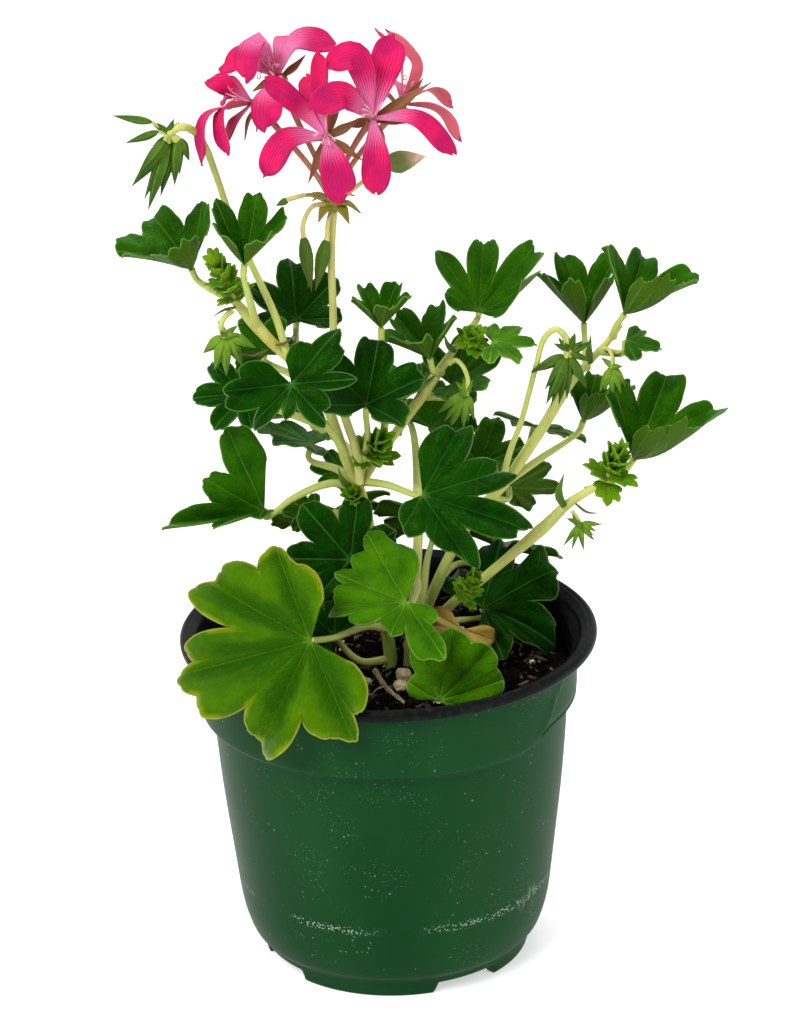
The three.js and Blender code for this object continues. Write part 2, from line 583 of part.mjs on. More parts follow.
// Nodding clusters of green buds: the bent stalk, then each bud's base and tip
const budClusters = {
  bud_cluster_top_left: { stalkRadius: 1.1,
    stalk: [[-24, -17.5, 179], [-27, -14, 189], [-34, -10, 205], [-38, -11, 216.5], [-41, -13, 228],
      [-43, -15, 235], [-46, -18, 240.6], [-49, -20, 242], [-52, -20, 240.5]],
    buds: [[[-56, -20, 243.5], [-66, -20, 245.5], 1.4], [[-53, -22, 239], [-60, -24, 231], 2],
      [[-52, -21, 238], [-62, -21, 227], 2], [[-52, -20, 238], [-58, -22, 221], 2.3],
      [[-51, -19, 238], [-55, -17, 223], 2], [[-50, -20, 238], [-51, -21, 227], 2],
      [[-49, -20, 239], [-47, -20, 233], 1.6], [[-53, -18, 239], [-59, -15, 229], 1.8]] },
  bud_cluster_left: { stalkRadius: 0.9,
    stalk: [[-37.9, -18.8, 192.5], [-40.4, -20.2, 190.4], [-41, -20, 188], [-40, -19, 186]],
    buds: [[[-41, -19, 185.5], [-46, -19, 181], 1.4], [[-40.5, -19, 185], [-43, -21, 177], 1.5],
      [[-40, -19, 185], [-40, -20, 175], 1.5], [[-39, -19, 185], [-36, -18, 177], 1.5],
      [[-38.8, -19, 186], [-32, -19, 182], 1.3]] },
  bud_cluster_centre: { stalkRadius: 0.8,
    stalk: [[18.2, 0.6, 169.5], [20, -1, 171], [22, -3, 169.5], [23, -4, 166], [22.5, -4, 163]],
    buds: [[[21.5, -4, 162.5], [14.5, -5, 157.5], 1.7], [[22, -4, 162], [18, -6, 154], 1.7],
      [[22.3, -4, 162], [21.5, -6, 153.5], 1.6], [[22.8, -4, 162], [24.5, -4, 155], 1.5],
      [[22, -3, 163], [19, -1, 157], 1.4]] },
  bud_cluster_right: { stalkRadius: 0.95,
    stalk: [[32.5, 2.4, 137.5], [34, 1, 144], [37, -1, 153], [41, -3, 169], [43.5, -3.6, 177.5],
      [46.5, -4, 180], [49, -4, 177.5], [49.5, -4, 174]],
    buds: [[[48.5, -4, 172.5], [39.5, -4, 168], 2], [[49, -5, 172], [43.5, -7, 160], 2.1],
      [[49.2, -4, 172], [47, -5, 159], 1.9], [[50.2, -4, 172], [54.5, -4, 163], 1.8],
      [[50, -4, 174.5], [51.5, -4.6, 179], 1.3], [[50.6, -4, 173.5], [56, -3, 176], 1.3]] },
  bud_cluster_far_right: { stalkRadius: 0.7,
    stalk: [[59.4, 3.4, 171.6], [60.6, 1, 172.2], [61.6, -0.6, 170.5], [61.5, -1, 168]],
    buds: [[[61, -1, 167.6], [58, -1.4, 161], 1.6], [[61.4, -1, 167.2], [61.4, -2, 159.5], 1.6],
      [[62, -1, 167.6], [65, -1, 162], 1.6]] },
  bud_cluster_low_right: { stalkRadius: 0.6,
    stalk: [[50, -8.4, 130], [51.4, -9.4, 128.5], [52, -10, 127]],
    buds: [[[51.8, -10, 126.8], [47.5, -10, 120.5], 1], [[52, -10, 126.6], [53, -11, 119.5], 1.1],
      [[52.4, -10, 127], [58, -10, 126.5], 1.1], [[52.3, -10, 126.6], [56, -10.5, 122], 1]] },
};

// Flower head: one bare stalk, a hub of bracts, and thin stalks to each floret
const hub = [-11, -8, 217];
const flowerStalk = [[-6.3, -11.8, 141], [-7, -12.4, 150], [-10, -12, 161], [-12, -9, 174],
  [-12, -8, 190], [-12, -8, 204], hub];
const bractTips = [[-18, -9, 220], [-4, -10, 215], [-15, -12, 213.5], [-7, -12.5, 213],
  [-11, -4, 213.5], [-16.5, -4, 217], [-5.5, -4, 218]];
const hangingBuds = [
  { stalk: [hub, [-16.5, -9.6, 217], [-19, -11, 212.5], [-19, -11, 209]],
    bud: [[-19, -11, 209.5], [-16.8, -11, 195.5], 2] },
  { stalk: [hub, [-12.6, -10.5, 212.5], [-13, -10.6, 208]],
    bud: [[-13, -10.6, 208.5], [-15.6, -10.4, 195], 2] },
  { stalk: [hub, [-6, -7, 220.5], [0, -5.5, 224.5], [3, -5.3, 226.8]],
    bud: [[2.5, -5.2, 226.6], [13, -7, 228.6], 2.4] },
  { stalk: [hub, [-17, -7, 220], [-23, -7, 219.8]], bud: [[-22.4, -7, 219.8], [-25, -7, 219.5], 1] },
];
const hubRadius = 2.4;
const calyxRadius = 1.5;
const sepalWidth = 3.2;
const calyxDrop = 3;
const pedicelRadius = 0.8;

// Florets: centre, the way it looks, its petals by bend, tip and width, its sepals by tip
const florets = {
  floret_middle: { at: [-12, -22, 239.5], axis: [0, -0.85, 0.5],
    petals: [[[-22, -26, 239.6], [-28, -29, 231], 7], [[-10, -28.6, 233], [-8, -28, 224], 8.6],
      [[-13.4, -19, 250], [-13, -14, 259], 4.5], [[-19.5, -22, 248], [-27, -25, 255], 6],
      [[-15, -14, 247], [-17, -7, 251], 6]],
    sepals: [[-25, -20, 238.5], [-17, -22, 227], [-3, -20, 232], [-3, -12, 241], [-8, -9, 248]],
    pedicel: [[-11, -12, 226], [-11.6, -17, 234]] },
  floret_right: { at: [0, -15, 242], axis: [0.1, -0.85, 0.5],
    petals: [[[-4.6, -17, 258.6], [-11.5, -19, 256], 7.5], [[2.6, -12, 252], [6, -5, 260], 8.6],
      [[-8, -21.5, 249.5], [-15, -27, 247], 8], [[0.4, -21, 234], [0, -23, 224], 7.6],
      [[11, -16, 241.5], [20, -17, 232], 5.5]],
    sepals: [[11, -10.5, 239], [15, -9, 249], [-1, -6, 252], [-8, -9, 238], [3, -11, 231]],
    pedicel: [[-9, -8.5, 225], [-4, -10, 235]] },
  floret_back: { at: [8, 5, 241], axis: [0.35, 0.65, 0.65],
    petals: [[[14, 8, 250], [6, 8, 260.5], 6.5], [[10, 14, 249], [5, 17, 256], 6],
      [[15, 11, 241.5], [21, 13, 236], 6.5], [[16.5, 3.6, 239], [25, 1, 232.5], 6.5],
      [[8, 15, 242], [9, 22, 238], 7]],
    sepals: [[18, 1.5, 234], [13, 1, 247.5], [0, 7, 244], [3, 11, 234]],
    pedicel: [[-7, -5, 225], [2, 0, 235]] },
  floret_top_left: { at: [-25, -8, 252], axis: [-0.5, -0.6, 0.6],
    petals: [[[-19, -9, 261], [-9, -12, 260], 6.5], [[-29.5, -11, 261], [-32, -17, 253], 8],
      [[-25.5, -17, 250], [-27, -23, 241.5], 9.5], [[-22, -1, 259], [-18, 6, 258.5], 7],
      [[-32, -6.5, 256], [-39, -3, 253], 7]],
    sepals: [[-31, -2, 246], [-17, -3, 255.5], [-19, -11, 246], [-22, 2, 247]],
    pedicel: [[-14, -6, 226], [-20, -6, 240]] },
  floret_left: { at: [-32, -13.5, 246.5], axis: [-0.85, -0.3, 0.4],
    petals: [[[-38.5, -20, 246], [-37, -24, 236], 7], [[-42, -19, 244.5], [-43.5, -21.5, 233], 6.5],
      [[-37, -12.5, 250.5], [-42, -13, 252], 5.5], [[-36, -6, 248], [-39, 0, 243.5], 7],
      [[-35.5, -15, 241], [-39, -13, 235], 6]],
    sepals: [[-33, -14, 236.5], [-30, -18, 242], [-29, -4, 246], [-30, -12, 238]],
    pedicel: [[-15, -9, 225], [-24, -12, 238]] },
};

function wholeStem(name) {
  const stem = stems[name];
  const solids = stem.parts.map(({ points, radii }) => (
    stemSolid(points, radii, stemSides, Math.round((points.length - 1) * 1.3))
  ));
  for (const leaf of leaves.filter((each) => each.stem === name)) {
    const face = vector(leaf.face).normalize();
    const steep = Math.min(2, 1 / Math.cos(radians(leaf.cup ?? 0)));
    const below = leaf.fused ? 0 : bladeThickness / 2 * steep + bladeGap;
    const end = vector(leaf.at).addScaledVector(face, -below);
    const bend = vector(leaf.at).addScaledVector(face, -below - 4);
    const route = [...leaf.stalk, bend.toArray(), end.toArray()];
    solids.push(stemSolid(route, [stalkRadius, stalkEndRadius], stalkSides, route.length));
    if (leaf.fused) {
      solids.push(bladeSolid({ ...leaf, plain: true }));
    }
  }
  for (const tuft of stem.tufts) {
    solids.push(...tuftSolids(tuft));
  }
  return join(solids);
}

// Shoot tip: a few small folded leaves round the growing point
function tuftSolids({ at, toward, size, seed }) {
  const axis = vector(toward).normalize();
  const side = new THREE.Vector3(0.3, 1, 0.2).cross(axis).normalize();
  const count = 3;
  const solids = [stemSolid([at, vector(at).addScaledVector(axis, size * 0.4).toArray()],
    [1.5, 0.6], 4, 1)];
  for (let i = 0; i < count; i++) {
    const out = side.clone().applyAxisAngle(axis, (i + seed * 0.37) / count * 2 * Math.PI);
    const reach = out.clone().multiplyScalar(0.8).addScaledVector(axis, 0.5);
    solids.push(bladeSolid({
      at: vector(at).addScaledVector(axis, size * (0.05 + 0.08 * i)).addScaledVector(out, 0.9)
        .toArray(),
      face: axis.clone().addScaledVector(out, -0.5).toArray(),
      toward: reach.toArray(),
      size: size * (1 - 0.12 * i),
      fold: 18,
      cup: 14,
      rings: 1,
      seed: seed + i,
      lobes: [[-60, 0.8], [0, 1], [60, 0.8]],
      thickness: 0.9,
      plain: true,
    }));
  }
  return solids;
}

function flowerHead() {
  const solids = [stemSolid(flowerStalk, [1.2, 1.15, 1.05, 1.05], 5, 6)];
  const knob = new THREE.IcosahedronGeometry(hubRadius, 0).translate(...hub);
  solids.push(toSolid(knob));
  for (const tip of bractTips) {
    const via = vector(hub).lerp(vector(tip), 0.55).add(new THREE.Vector3(0, 0, 1)).toArray();
    solids.push(strapSolid({ from: hub, via, to: tip, face: [0, 0, 1], width: 3.8, stations: 4,
      pointed: true, widest: 0.5, claw: 0.6, flat: true, thickness: 0.8 }));
  }
  for (const { stalk, bud } of hangingBuds) {
    solids.push(stemSolid(stalk, [0.8, 0.6], 4, 4), budSolid(...bud));
  }
  for (const { at, axis, sepals, pedicel } of Object.values(florets)) {
    const drop = vector(axis).normalize().multiplyScalar(calyxDrop);
    const calyx = vector(at).sub(drop).toArray();
    solids.push(stemSolid([hub, ...pedicel, calyx], [pedicelRadius, pedicelRadius, 0.9], stalkSides, 4));
    solids.push(toSolid(new THREE.IcosahedronGeometry(calyxRadius, 0).translate(...calyx)));
    for (const tip of sepals) {
      const via = vector(calyx).lerp(vector(tip), 0.5).toArray();
      solids.push(strapSolid({ from: calyx, via, to: tip, face: axis, width: sepalWidth,
        stations: 3, pointed: true, widest: 0.5, claw: 0.4, flat: true, thickness: 0.7 }));
    }
  }
  return join(solids);
}

function floretSolid({ at, axis, petals }) {
  const face = vector(axis).normalize();
  const low = vector(at).addScaledVector(face, -1.1).toArray();
  const high = vector(at).addScaledVector(face, 1.6).toArray();
  const solids = [stemSolid([low, at, high], [1.2, 1.7, 0.6], 5, 2)];
  for (const [via, to, width] of petals) {
    const out = vector(via).sub(vector(at)).normalize();
    const from = vector(at).addScaledVector(out, 0.9).toArray();
    solids.push(strapSolid({ from, via, to, face: axis, width, stations: 4 }));
  }
  return join(solids);
}

function budCluster({ stalk, stalkRadius: radius, buds }) {
  const solids = [stemSolid(stalk, [radius * 1.1, radius], 4, stalk.length - 1)];
  const knob = new THREE.IcosahedronGeometry(radius * 1.7, 0).translate(...stalk[stalk.length - 1]);
  solids.push(toSolid(knob));
  for (const [from, to, width] of buds) {
    const root = stalk[stalk.length - 1];
    solids.push(budSolid(vector(root).lerp(vector(from), 0.35).toArray(), to, width));
  }
  return join(solids);
}

// Mineral chips lie pressed a little into the soil
const chips = [
  { at: [-10, -22, 84.2], size: [5, 4.6, 3.6], turn: 20 },
  { at: [-6.5, -16, 84.6], size: [4.2, 4, 3.2], turn: 70 },
  { at: [4, -12.4, 85.2], size: [4.2, 5.2, 3.6], turn: 35 },
  { at: [3, -18, 84.4], size: [4.6, 4, 3.4], turn: 100 },
];

// Dry twig on the soil, half sunk
const twig = { points: [[-4, -12, 86.6], [-1, -19, 84.6], [4, -27, 83.4]], radii: [0.8, 0.7, 0.5] };

addNode('pot', potSolid(), colours.potGreen, 0.5);

const wholeStems = Object.keys(stems).map((name) => [name, wholeStem(name)]);
let soil = soilBody();
for (const { parts: [trunk] } of Object.values(stems)) {
  const hole = trunk.radii.slice(0, 3).map((radius) => radius + stemHoleClear);
  soil = soil.subtract(stemSolid(trunk.points.slice(0, 3), hole, 6, 2));
}
chips.forEach((chip, i) => {
  soil = soil.subtract(chipSolid(chip, 0.3));
  addNode(`mineral_chip_${i + 1}`, chipSolid(chip), colours.perlite, 0.9);
});
const twigGroove = twig.radii.map((radius) => radius + soilClear);
soil = soil.subtract(stemSolid(twig.points, twigGroove, 4, 3));
addNode('dry_twig', stemSolid(twig.points, twig.radii, 4, 3), colours.twig, 0.9);
addNode('soil', join([soil]), colours.soil, 0.95);
for (const [name, solid] of wholeStems) {
  addNode(name, solid, colours.stem);
}
for (const leaf of leaves.filter((each) => !each.fused)) {
  addNode(leaf.name, bladeSolid(leaf), colours[leaf.colour ?? 'leaf'], 0.45);
}
for (const [name, cluster] of Object.entries(budClusters)) {
  addNode(name, budCluster(cluster), colours.bud);
}
addNode('flower_head_stalks', flowerHead(), colours.flowerStalk);
for (const [name, floret] of Object.entries(florets)) {
  addNode(name, floretSolid(floret), colours.petal);
}

plant.position.set(potOffset[0], potOffset[1], 0);
plant.updateMatrixWorld(true);

export default plant;
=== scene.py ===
# Potted ivy geranium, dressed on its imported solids. Plant sizes are in mm round the pot's axis.
import math

import bpy
import numpy as np
from mathutils import Matrix, Vector, noise


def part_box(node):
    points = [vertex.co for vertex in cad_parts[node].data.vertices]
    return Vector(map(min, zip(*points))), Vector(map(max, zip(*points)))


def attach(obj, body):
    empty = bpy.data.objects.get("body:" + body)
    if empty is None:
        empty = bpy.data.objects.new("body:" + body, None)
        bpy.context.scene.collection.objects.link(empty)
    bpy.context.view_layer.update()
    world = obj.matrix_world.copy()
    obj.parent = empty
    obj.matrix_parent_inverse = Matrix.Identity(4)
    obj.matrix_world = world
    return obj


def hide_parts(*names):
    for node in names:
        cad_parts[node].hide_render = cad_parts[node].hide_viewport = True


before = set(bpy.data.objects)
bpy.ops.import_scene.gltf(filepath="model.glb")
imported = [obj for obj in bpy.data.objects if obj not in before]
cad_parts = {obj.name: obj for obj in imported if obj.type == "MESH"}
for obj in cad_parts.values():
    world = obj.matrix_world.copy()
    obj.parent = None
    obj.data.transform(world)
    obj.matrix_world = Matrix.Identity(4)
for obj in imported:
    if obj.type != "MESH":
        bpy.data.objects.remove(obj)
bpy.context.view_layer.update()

mm = 0.001
potLow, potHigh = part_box("pot")
potAxis = np.array([(potLow.x + potHigh.x) / 2, (potLow.y + potHigh.y) / 2, 0.0])

# Camera: long lens, looking down on the pot from the front
view = {"at": (4.05, -905.4, 486.2), "down": 21.6, "roll": -1.55, "lens": 126.84}


def place(name, data):
    thing = bpy.data.objects.new(name, data)
    bpy.context.scene.collection.objects.link(thing)
    return thing


def makeCamera():
    data = bpy.data.cameras.new("viewCamera")
    data.lens, data.sensor_width = view["lens"], 36
    data.clip_start, data.clip_end = 0.01, 50
    spot = Matrix.Translation(Vector(view["at"]) * mm + Vector(potAxis))
    tilt = Matrix.Rotation(math.radians(90 - view["down"]), 4, "X")
    camera = place("viewCamera", data)
    camera.matrix_world = spot @ tilt @ Matrix.Rotation(math.radians(view["roll"]), 4, "Z")
    bpy.context.scene.camera = camera


makeCamera()
print("camera set")


# Node wires: shader and geometry maths read as plain expressions
class Wire:
    def __init__(self, net, socket):
        self.net, self.socket = net, socket

    def math(self, operation, *others):
        return self.net.math(operation, self, *others)

    def __add__(self, other):
        return self.math("ADD", other)

    def __sub__(self, other):
        return self.math("SUBTRACT", other)

    def __rsub__(self, other):
        return self.net.math("SUBTRACT", other, self)

    def __mul__(self, other):
        return self.math("MULTIPLY", other)

    __radd__, __rmul__ = __add__, __mul__

    def fade(self, low, high):  # 0 below low, 1 above high, smooth between
        return self.net.add("ShaderNodeMapRange", {"Value": self, "From Min": low, "From Max": high},
                            interpolation_type="SMOOTHSTEP")

    def peaks(self):  # 1 at every half, 0 at every whole number
        return 1 - (self.math("FRACT") - 0.5).math("ABSOLUTE") * 2

    def pick(self, first, second):  # first colour where this is 0, second where it is 1
        return self.net.add("ShaderNodeMix", {"Factor_Float": self, "A_Color": first, "B_Color": second},
                            "Result_Color", data_type="RGBA")

    def part(self, axis):
        return self.net.add("ShaderNodeSeparateXYZ", {0: self}, axis)


class Net:
    def __init__(self, tree):
        self.tree = tree

    def add(self, kind, sockets=None, out=0, **settings):
        node = self.tree.nodes.new(kind)
        for key, value in settings.items():
            setattr(node, key, value)
        for key, value in (sockets or {}).items():
            socket = self.find(node.inputs, key)
            if isinstance(value, Wire):
                self.tree.links.new(value.socket, socket)
            elif socket.type == "RGBA" and len(value) == 3:
                socket.default_value = (*value, 1)
            else:
                socket.default_value = value
        return Wire(self, self.find(node.outputs, out)) if len(node.outputs) else node

    def math(self, operation, *values):
        return self.add("ShaderNodeMath", dict(enumerate(values)), operation=operation)

    @staticmethod
    def find(sockets, key):
        if isinstance(key, int):
            return sockets[key]
        return next(s for s in sockets if key in (s.identifier, s.name) and s.enabled)


class Look(Net):
    sheens = {"specular": "Specular IOR Level", "specularTint": "Specular Tint", "soft": "Subsurface Weight",
              "softReach": "Subsurface Radius", "softScale": "Subsurface Scale",
              "glow": "Emission Strength", "glowColour": "Emission Color"}

    def __init__(self, name):
        self.material = bpy.data.materials.new(name)
        self.material.use_nodes = True
        super().__init__(self.material.node_tree)
        self.tree.nodes.clear()
        self.place = self.add("ShaderNodeTexCoord", out="Object")

    def read(self, *names):
        return [self.add("ShaderNodeAttribute", out="Fac", attribute_name=name) for name in names]

    def noise(self, scale, detail=3, roughness=0.5, stretch=None):
        where = self.place
        if stretch:
            where = self.add("ShaderNodeMapping", {"Vector": where, "Scale": stretch})
        sockets = {"Vector": where, "Scale": scale, "Detail": detail, "Roughness": roughness}
        return self.add("ShaderNodeTexNoise", sockets, "Fac")

    def cells(self, scale, feature="F1"):
        sockets = {"Vector": self.place, "Scale": scale}
        return self.add("ShaderNodeTexVoronoi", sockets, "Distance", feature=feature)

    def finish(self, colour, roughness, height=None, depth=0.3, **sheen):
        sockets = {"Base Color": colour, "Roughness": roughness}
        sockets.update({self.sheens[key]: value for key, value in sheen.items()})
        if height is not None:  # depth in mm
            sockets["Normal"] = self.add("ShaderNodeBump", {"Height": height, "Distance": depth * mm})
        shader = self.add("ShaderNodeBsdfPrincipled", sockets)
        self.add("ShaderNodeOutputMaterial", {"Surface": shader})
        return self.material


# Geometry Nodes tree with named inputs, ending in Realize Instances and Set Material
class Maker(Net):
    def __init__(self, name, **inputs):
        super().__init__(bpy.data.node_groups.new(name, "GeometryNodeTree"))
        face = self.tree.interface
        for label, kind in {"Geometry": "Geometry", **inputs, "Material": "Material"}.items():
            face.new_socket(label, in_out="INPUT", socket_type="NodeSocket" + kind)
        face.new_socket("Geometry", in_out="OUTPUT", socket_type="NodeSocketGeometry")
        self.source = self.tree.nodes.new("NodeGroupInput")

    def given(self, label):
        return Wire(self, self.source.outputs[label])

    def named(self, name, kind="FLOAT"):
        return self.add("GeometryNodeInputNamedAttribute", {"Name": name}, "Attribute", data_type=kind)

    def shape(self):
        return self.add("GeometryNodeObjectInfo", {"Object": self.given("Shape")}, "Geometry")

    def random(self, low, high, shift):
        sockets = {"Min": low, "Max": high, "Seed": self.given("Seed") + shift}
        return self.add("FunctionNodeRandomValue", sockets, data_type="FLOAT_VECTOR")

    def end(self, geometry):
        real = self.add("GeometryNodeRealizeInstances", {"Geometry": geometry})
        done = self.add("GeometryNodeSetMaterial", {"Geometry": real, "Material": self.given("Material")})
        sink = self.tree.nodes.new("NodeGroupOutput")
        self.tree.links.new(done.socket, sink.inputs[0])
        return self

    def setOut(self, points, turn, size):
        return self.end(self.add("GeometryNodeInstanceOnPoints", {
            "Points": points, "Instance": self.shape(), "Rotation": turn, "Scale": size}))

    def run(self, piece, **values):  # the result becomes the piece's own plain mesh
        modifier = piece.modifiers.new("maker", "NODES")
        modifier.node_group = self.tree
        items = self.tree.interface.items_tree
        ids = {item.name: item.identifier for item in items if item.in_out == "INPUT"}
        for label, value in values.items():
            modifier[ids[label]] = value
        graph = bpy.context.evaluated_depsgraph_get()
        made = bpy.data.meshes.new_from_object(piece.evaluated_get(graph), preserve_all_data_layers=True,
                                               depsgraph=graph)
        piece.modifiers.clear()
        piece.data = made
        made.shade_smooth()
        return piece


def sweepMaker():  # a tube along each line, as thick as the line's "thick" attribute says
    net = Maker("tubeAlongLines", Sides="Int", Step="Float", Ribs="Float")
    line = net.add("GeometryNodeMeshToCurve", {"Mesh": net.given("Geometry")})
    line = net.add("GeometryNodeResampleCurve", {"Curve": line, "Length": net.given("Step")}, mode="LENGTH")
    ring = net.add("GeometryNodeCurvePrimitiveCircle", {"Resolution": net.given("Sides"), "Radius": 1.0})
    spot = net.add("GeometryNodeInputPosition")
    turn = spot.part("Y").math("ARCTAN2", spot.part("X"))
    swell = 1 + (turn * 5).math("COSINE") * net.given("Ribs")
    spot = net.add("ShaderNodeVectorMath", {0: spot, "Scale": swell}, operation="SCALE")
    ring = net.add("GeometryNodeSetPosition", {"Geometry": ring, "Position": spot})
    return net.end(net.add("GeometryNodeCurveToMesh", {"Curve": line, "Profile Curve": ring,
                                                       "Scale": net.named("thick"), "Fill Caps": True}))


def setOutMaker():  # one small shape on each point, turned and sized by attributes
    net = Maker("shapesOnPoints", Shape="Object")
    dots = net.add("GeometryNodeMeshToPoints", {"Mesh": net.given("Geometry")})
    turn = net.add("FunctionNodeEulerToRotation", {0: net.named("turn", "FLOAT_VECTOR")})
    return net.setOut(dots, turn, net.named("size", "FLOAT_VECTOR"))


def scatterMaker():  # small shapes strewn over a surface with a fixed seed
    net = Maker("strewnOverFaces", Shape="Object", Density="Float", Seed="Int", Smallest="Vector",
                Largest="Vector", Tilt="Float")
    spread = net.add("GeometryNodeDistributePointsOnFaces", {
        "Mesh": net.given("Geometry"), "Density": net.given("Density"), "Seed": net.given("Seed")}, "Points")
    normal = Wire(net, spread.socket.node.outputs["Rotation"])
    lean = net.given("Tilt")
    low, high = (net.add("ShaderNodeCombineXYZ", {"X": tilt, "Y": tilt, "Z": turn})
                 for tilt, turn in ((0 - lean, -3.14), (lean, 3.14)))
    spin = net.add("FunctionNodeEulerToRotation", {0: net.random(low, high, 1)})
    turn = net.add("FunctionNodeRotateRotation", {"Rotation": normal, "Rotate By": spin},
                   rotation_space="LOCAL")
    return net.setOut(spread, turn, net.random(net.given("Smallest"), net.given("Largest"), 2))


sweeper, setter, strewer = sweepMaker(), setOutMaker(), scatterMaker()
print("makers built")


# Meshes, in mm round the pot's axis
def newPiece(name, points, faces, materials=(), values=None, edges=(), ownScale=False):
    mesh = bpy.data.meshes.new(name)
    points = np.asarray(points, float)
    points = points if ownScale else points * mm + potAxis
    mesh.from_pydata(points.tolist(), edges, faces)
    for key, value in (values or {}).items():
        value = np.asarray(value, np.float32)
        kind, field = ("FLOAT_VECTOR", "vector") if value.ndim == 2 else ("FLOAT", "value")
        mesh.attributes.new(key, kind, "POINT").data.foreach_set(field, value.ravel())
    for material in materials:
        mesh.materials.append(material)
    mesh.shade_smooth()
    return place(name, mesh)


def dress(piece, slotName, *nodes):
    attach(piece, "root")
    if nodes:
        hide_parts(*nodes)
    return piece


def camel(name):
    first, *rest = name.split("_")
    return first + "".join(word.capitalize() for word in rest)


def ramp(v):
    return np.clip(v, 0, 1)


def unit(v):
    v = np.asarray(v, float)
    return v / np.maximum(np.linalg.norm(v, axis=-1, keepdims=True), 1e-9)


def smoothPath(points, count=None, step=1.0):  # evenly spaced points on a smooth line through the given ones
    p = np.asarray(points, float)
    p = np.vstack([2 * p[0] - p[1], p, 2 * p[-1] - p[-2]])
    t = np.linspace(0, 1, 16, endpoint=False)[:, None]
    dense = []
    for i in range(1, len(p) - 2):
        a, b, c, d = p[i - 1:i + 3]
        h0, h1, h2 = (max(np.linalg.norm(v) ** 0.5, 1e-4) for v in (b - a, c - b, d - c))
        t1 = ((b - a) / h0 - (c - a) / (h0 + h1) + (c - b) / h1) * h1
        t2 = ((c - b) / h1 - (d - b) / (h1 + h2) + (d - c) / h2) * h1
        dense.append(b + t * t1 + t ** 2 * (3 * c - 3 * b - 2 * t1 - t2) + t ** 3 * (2 * b - 2 * c + t1 + t2))
    dense = np.vstack([*dense, p[-2][None]])
    reach = np.concatenate([[0], np.cumsum(np.linalg.norm(np.diff(dense, axis=0), axis=1))])
    at = np.linspace(0, reach[-1], count or max(6, int(reach[-1] / step)))
    return np.column_stack([np.interp(at, reach, dense[:, k]) for k in range(3)])


class Lines:  # collects lines for the tube maker
    knotReach = 4.2  # mm over which the colour of a joint fades

    def __init__(self):
        self.points, self.edges, self.thick, self.tint, self.bulge = [], [], [], [], []

    def add(self, points, radii, tint=0.0, knots=(), step=0.9):
        path = smoothPath(points, step=step)
        share, first, glow = np.linspace(0, 1, len(path)), len(self.points), np.zeros(len(path))
        radius, tints = (np.interp(share, np.linspace(0, 1, np.size(v)), np.ravel(v)) for v in (radii, tint))
        for *knot, strength in knots:
            near = np.exp(-(np.linalg.norm(path - np.asarray(knot), axis=1) / self.knotReach) ** 2)
            glow = np.maximum(glow, strength * near)
        self.edges += [(first + i, first + i + 1) for i in range(len(path) - 1)]
        self.points += path.tolist()
        self.thick += (radius * mm).tolist()
        self.tint += tints.tolist()
        self.bulge += glow.tolist()

    def tubes(self, name, look, sides=12, step=0.8, ribs=0.0):
        values = {"thick": self.thick, "tint": self.tint, "knot": self.bulge}
        line = newPiece(name, self.points, [], (), values, self.edges)
        return sweeper.run(line, Sides=sides, Step=step * mm, Ribs=ribs, Material=looks[look])


class Spots:  # points that carry a small shape each
    def __init__(self):
        self.points, self.turns, self.sizes = [], [], []

    def add(self, at, aim, face, size):  # the shape's +Z looks along aim, its -Y towards face
        z, face = unit(aim), np.asarray(face, float)
        y = -unit(face - face @ z * z)
        turn = Matrix(np.column_stack([np.cross(y, z), y, z]).tolist()).to_euler()
        self.points.append(list(at))
        self.turns.append(list(turn))
        self.sizes.append([v * mm for v in size])

    def shapes(self, name, shape, look):
        piece = newPiece(name, self.points, [], (), {"turn": self.turns, "size": self.sizes})
        return setter.run(piece, Shape=shape, Material=looks[look])


class Heap:  # joins point sets, faces and attributes into one piece
    def __init__(self):
        self.points, self.faces, self.values, self.count = [], [], {}, 0

    def add(self, points, faces, values):
        self.points.append(points)
        self.faces += [[i + self.count for i in face] for face in faces]
        for key, value in values.items():
            self.values.setdefault(key, []).append(np.broadcast_to(value, len(points)))
        self.count += len(points)

    def piece(self, name, look):
        values = {key: np.concatenate(value) for key, value in self.values.items()}
        return newPiece(name, np.vstack(self.points), self.faces, [looks[look]], values)


def gridQuads(index):
    return np.stack([index[:-1, :-1], index[:-1, 1:], index[1:, 1:], index[1:, :-1]], -1).reshape(-1, 4)


def ringQuads(rings, sides):
    index = np.arange(rings * sides).reshape(rings, sides)
    after = np.roll(index, -1, 1)
    return np.stack([index[:-1], after[:-1], after[1:], index[1:]], -1).reshape(-1, 4).tolist()


def vertexNormals(points, quads):
    a, b, c, d = (points[quads[:, k]] for k in range(4))
    normal, total = np.cross(b - a, d - a) + np.cross(d - c, b - c), np.zeros_like(points)
    for k in range(4):
        np.add.at(total, quads[:, k], normal)
    return unit(total)


# A sheet gets an upper and a lower face and a rim between them
def thicken(points, faces, normals, rim, half, values):
    push, total, after = normals * half[:, None], len(points), np.roll(rim, -1)
    below = [[i + total for i in face[::-1]] for face in faces]
    sides = np.stack([rim, after, after + total, rim + total], -1).tolist()
    values = {key: np.concatenate([value, value]) for key, value in values.items()}
    values["under"] = np.repeat([0.0, 1.0], total)
    return np.vstack([points + push, points - push]), [*faces, *below, *sides], values


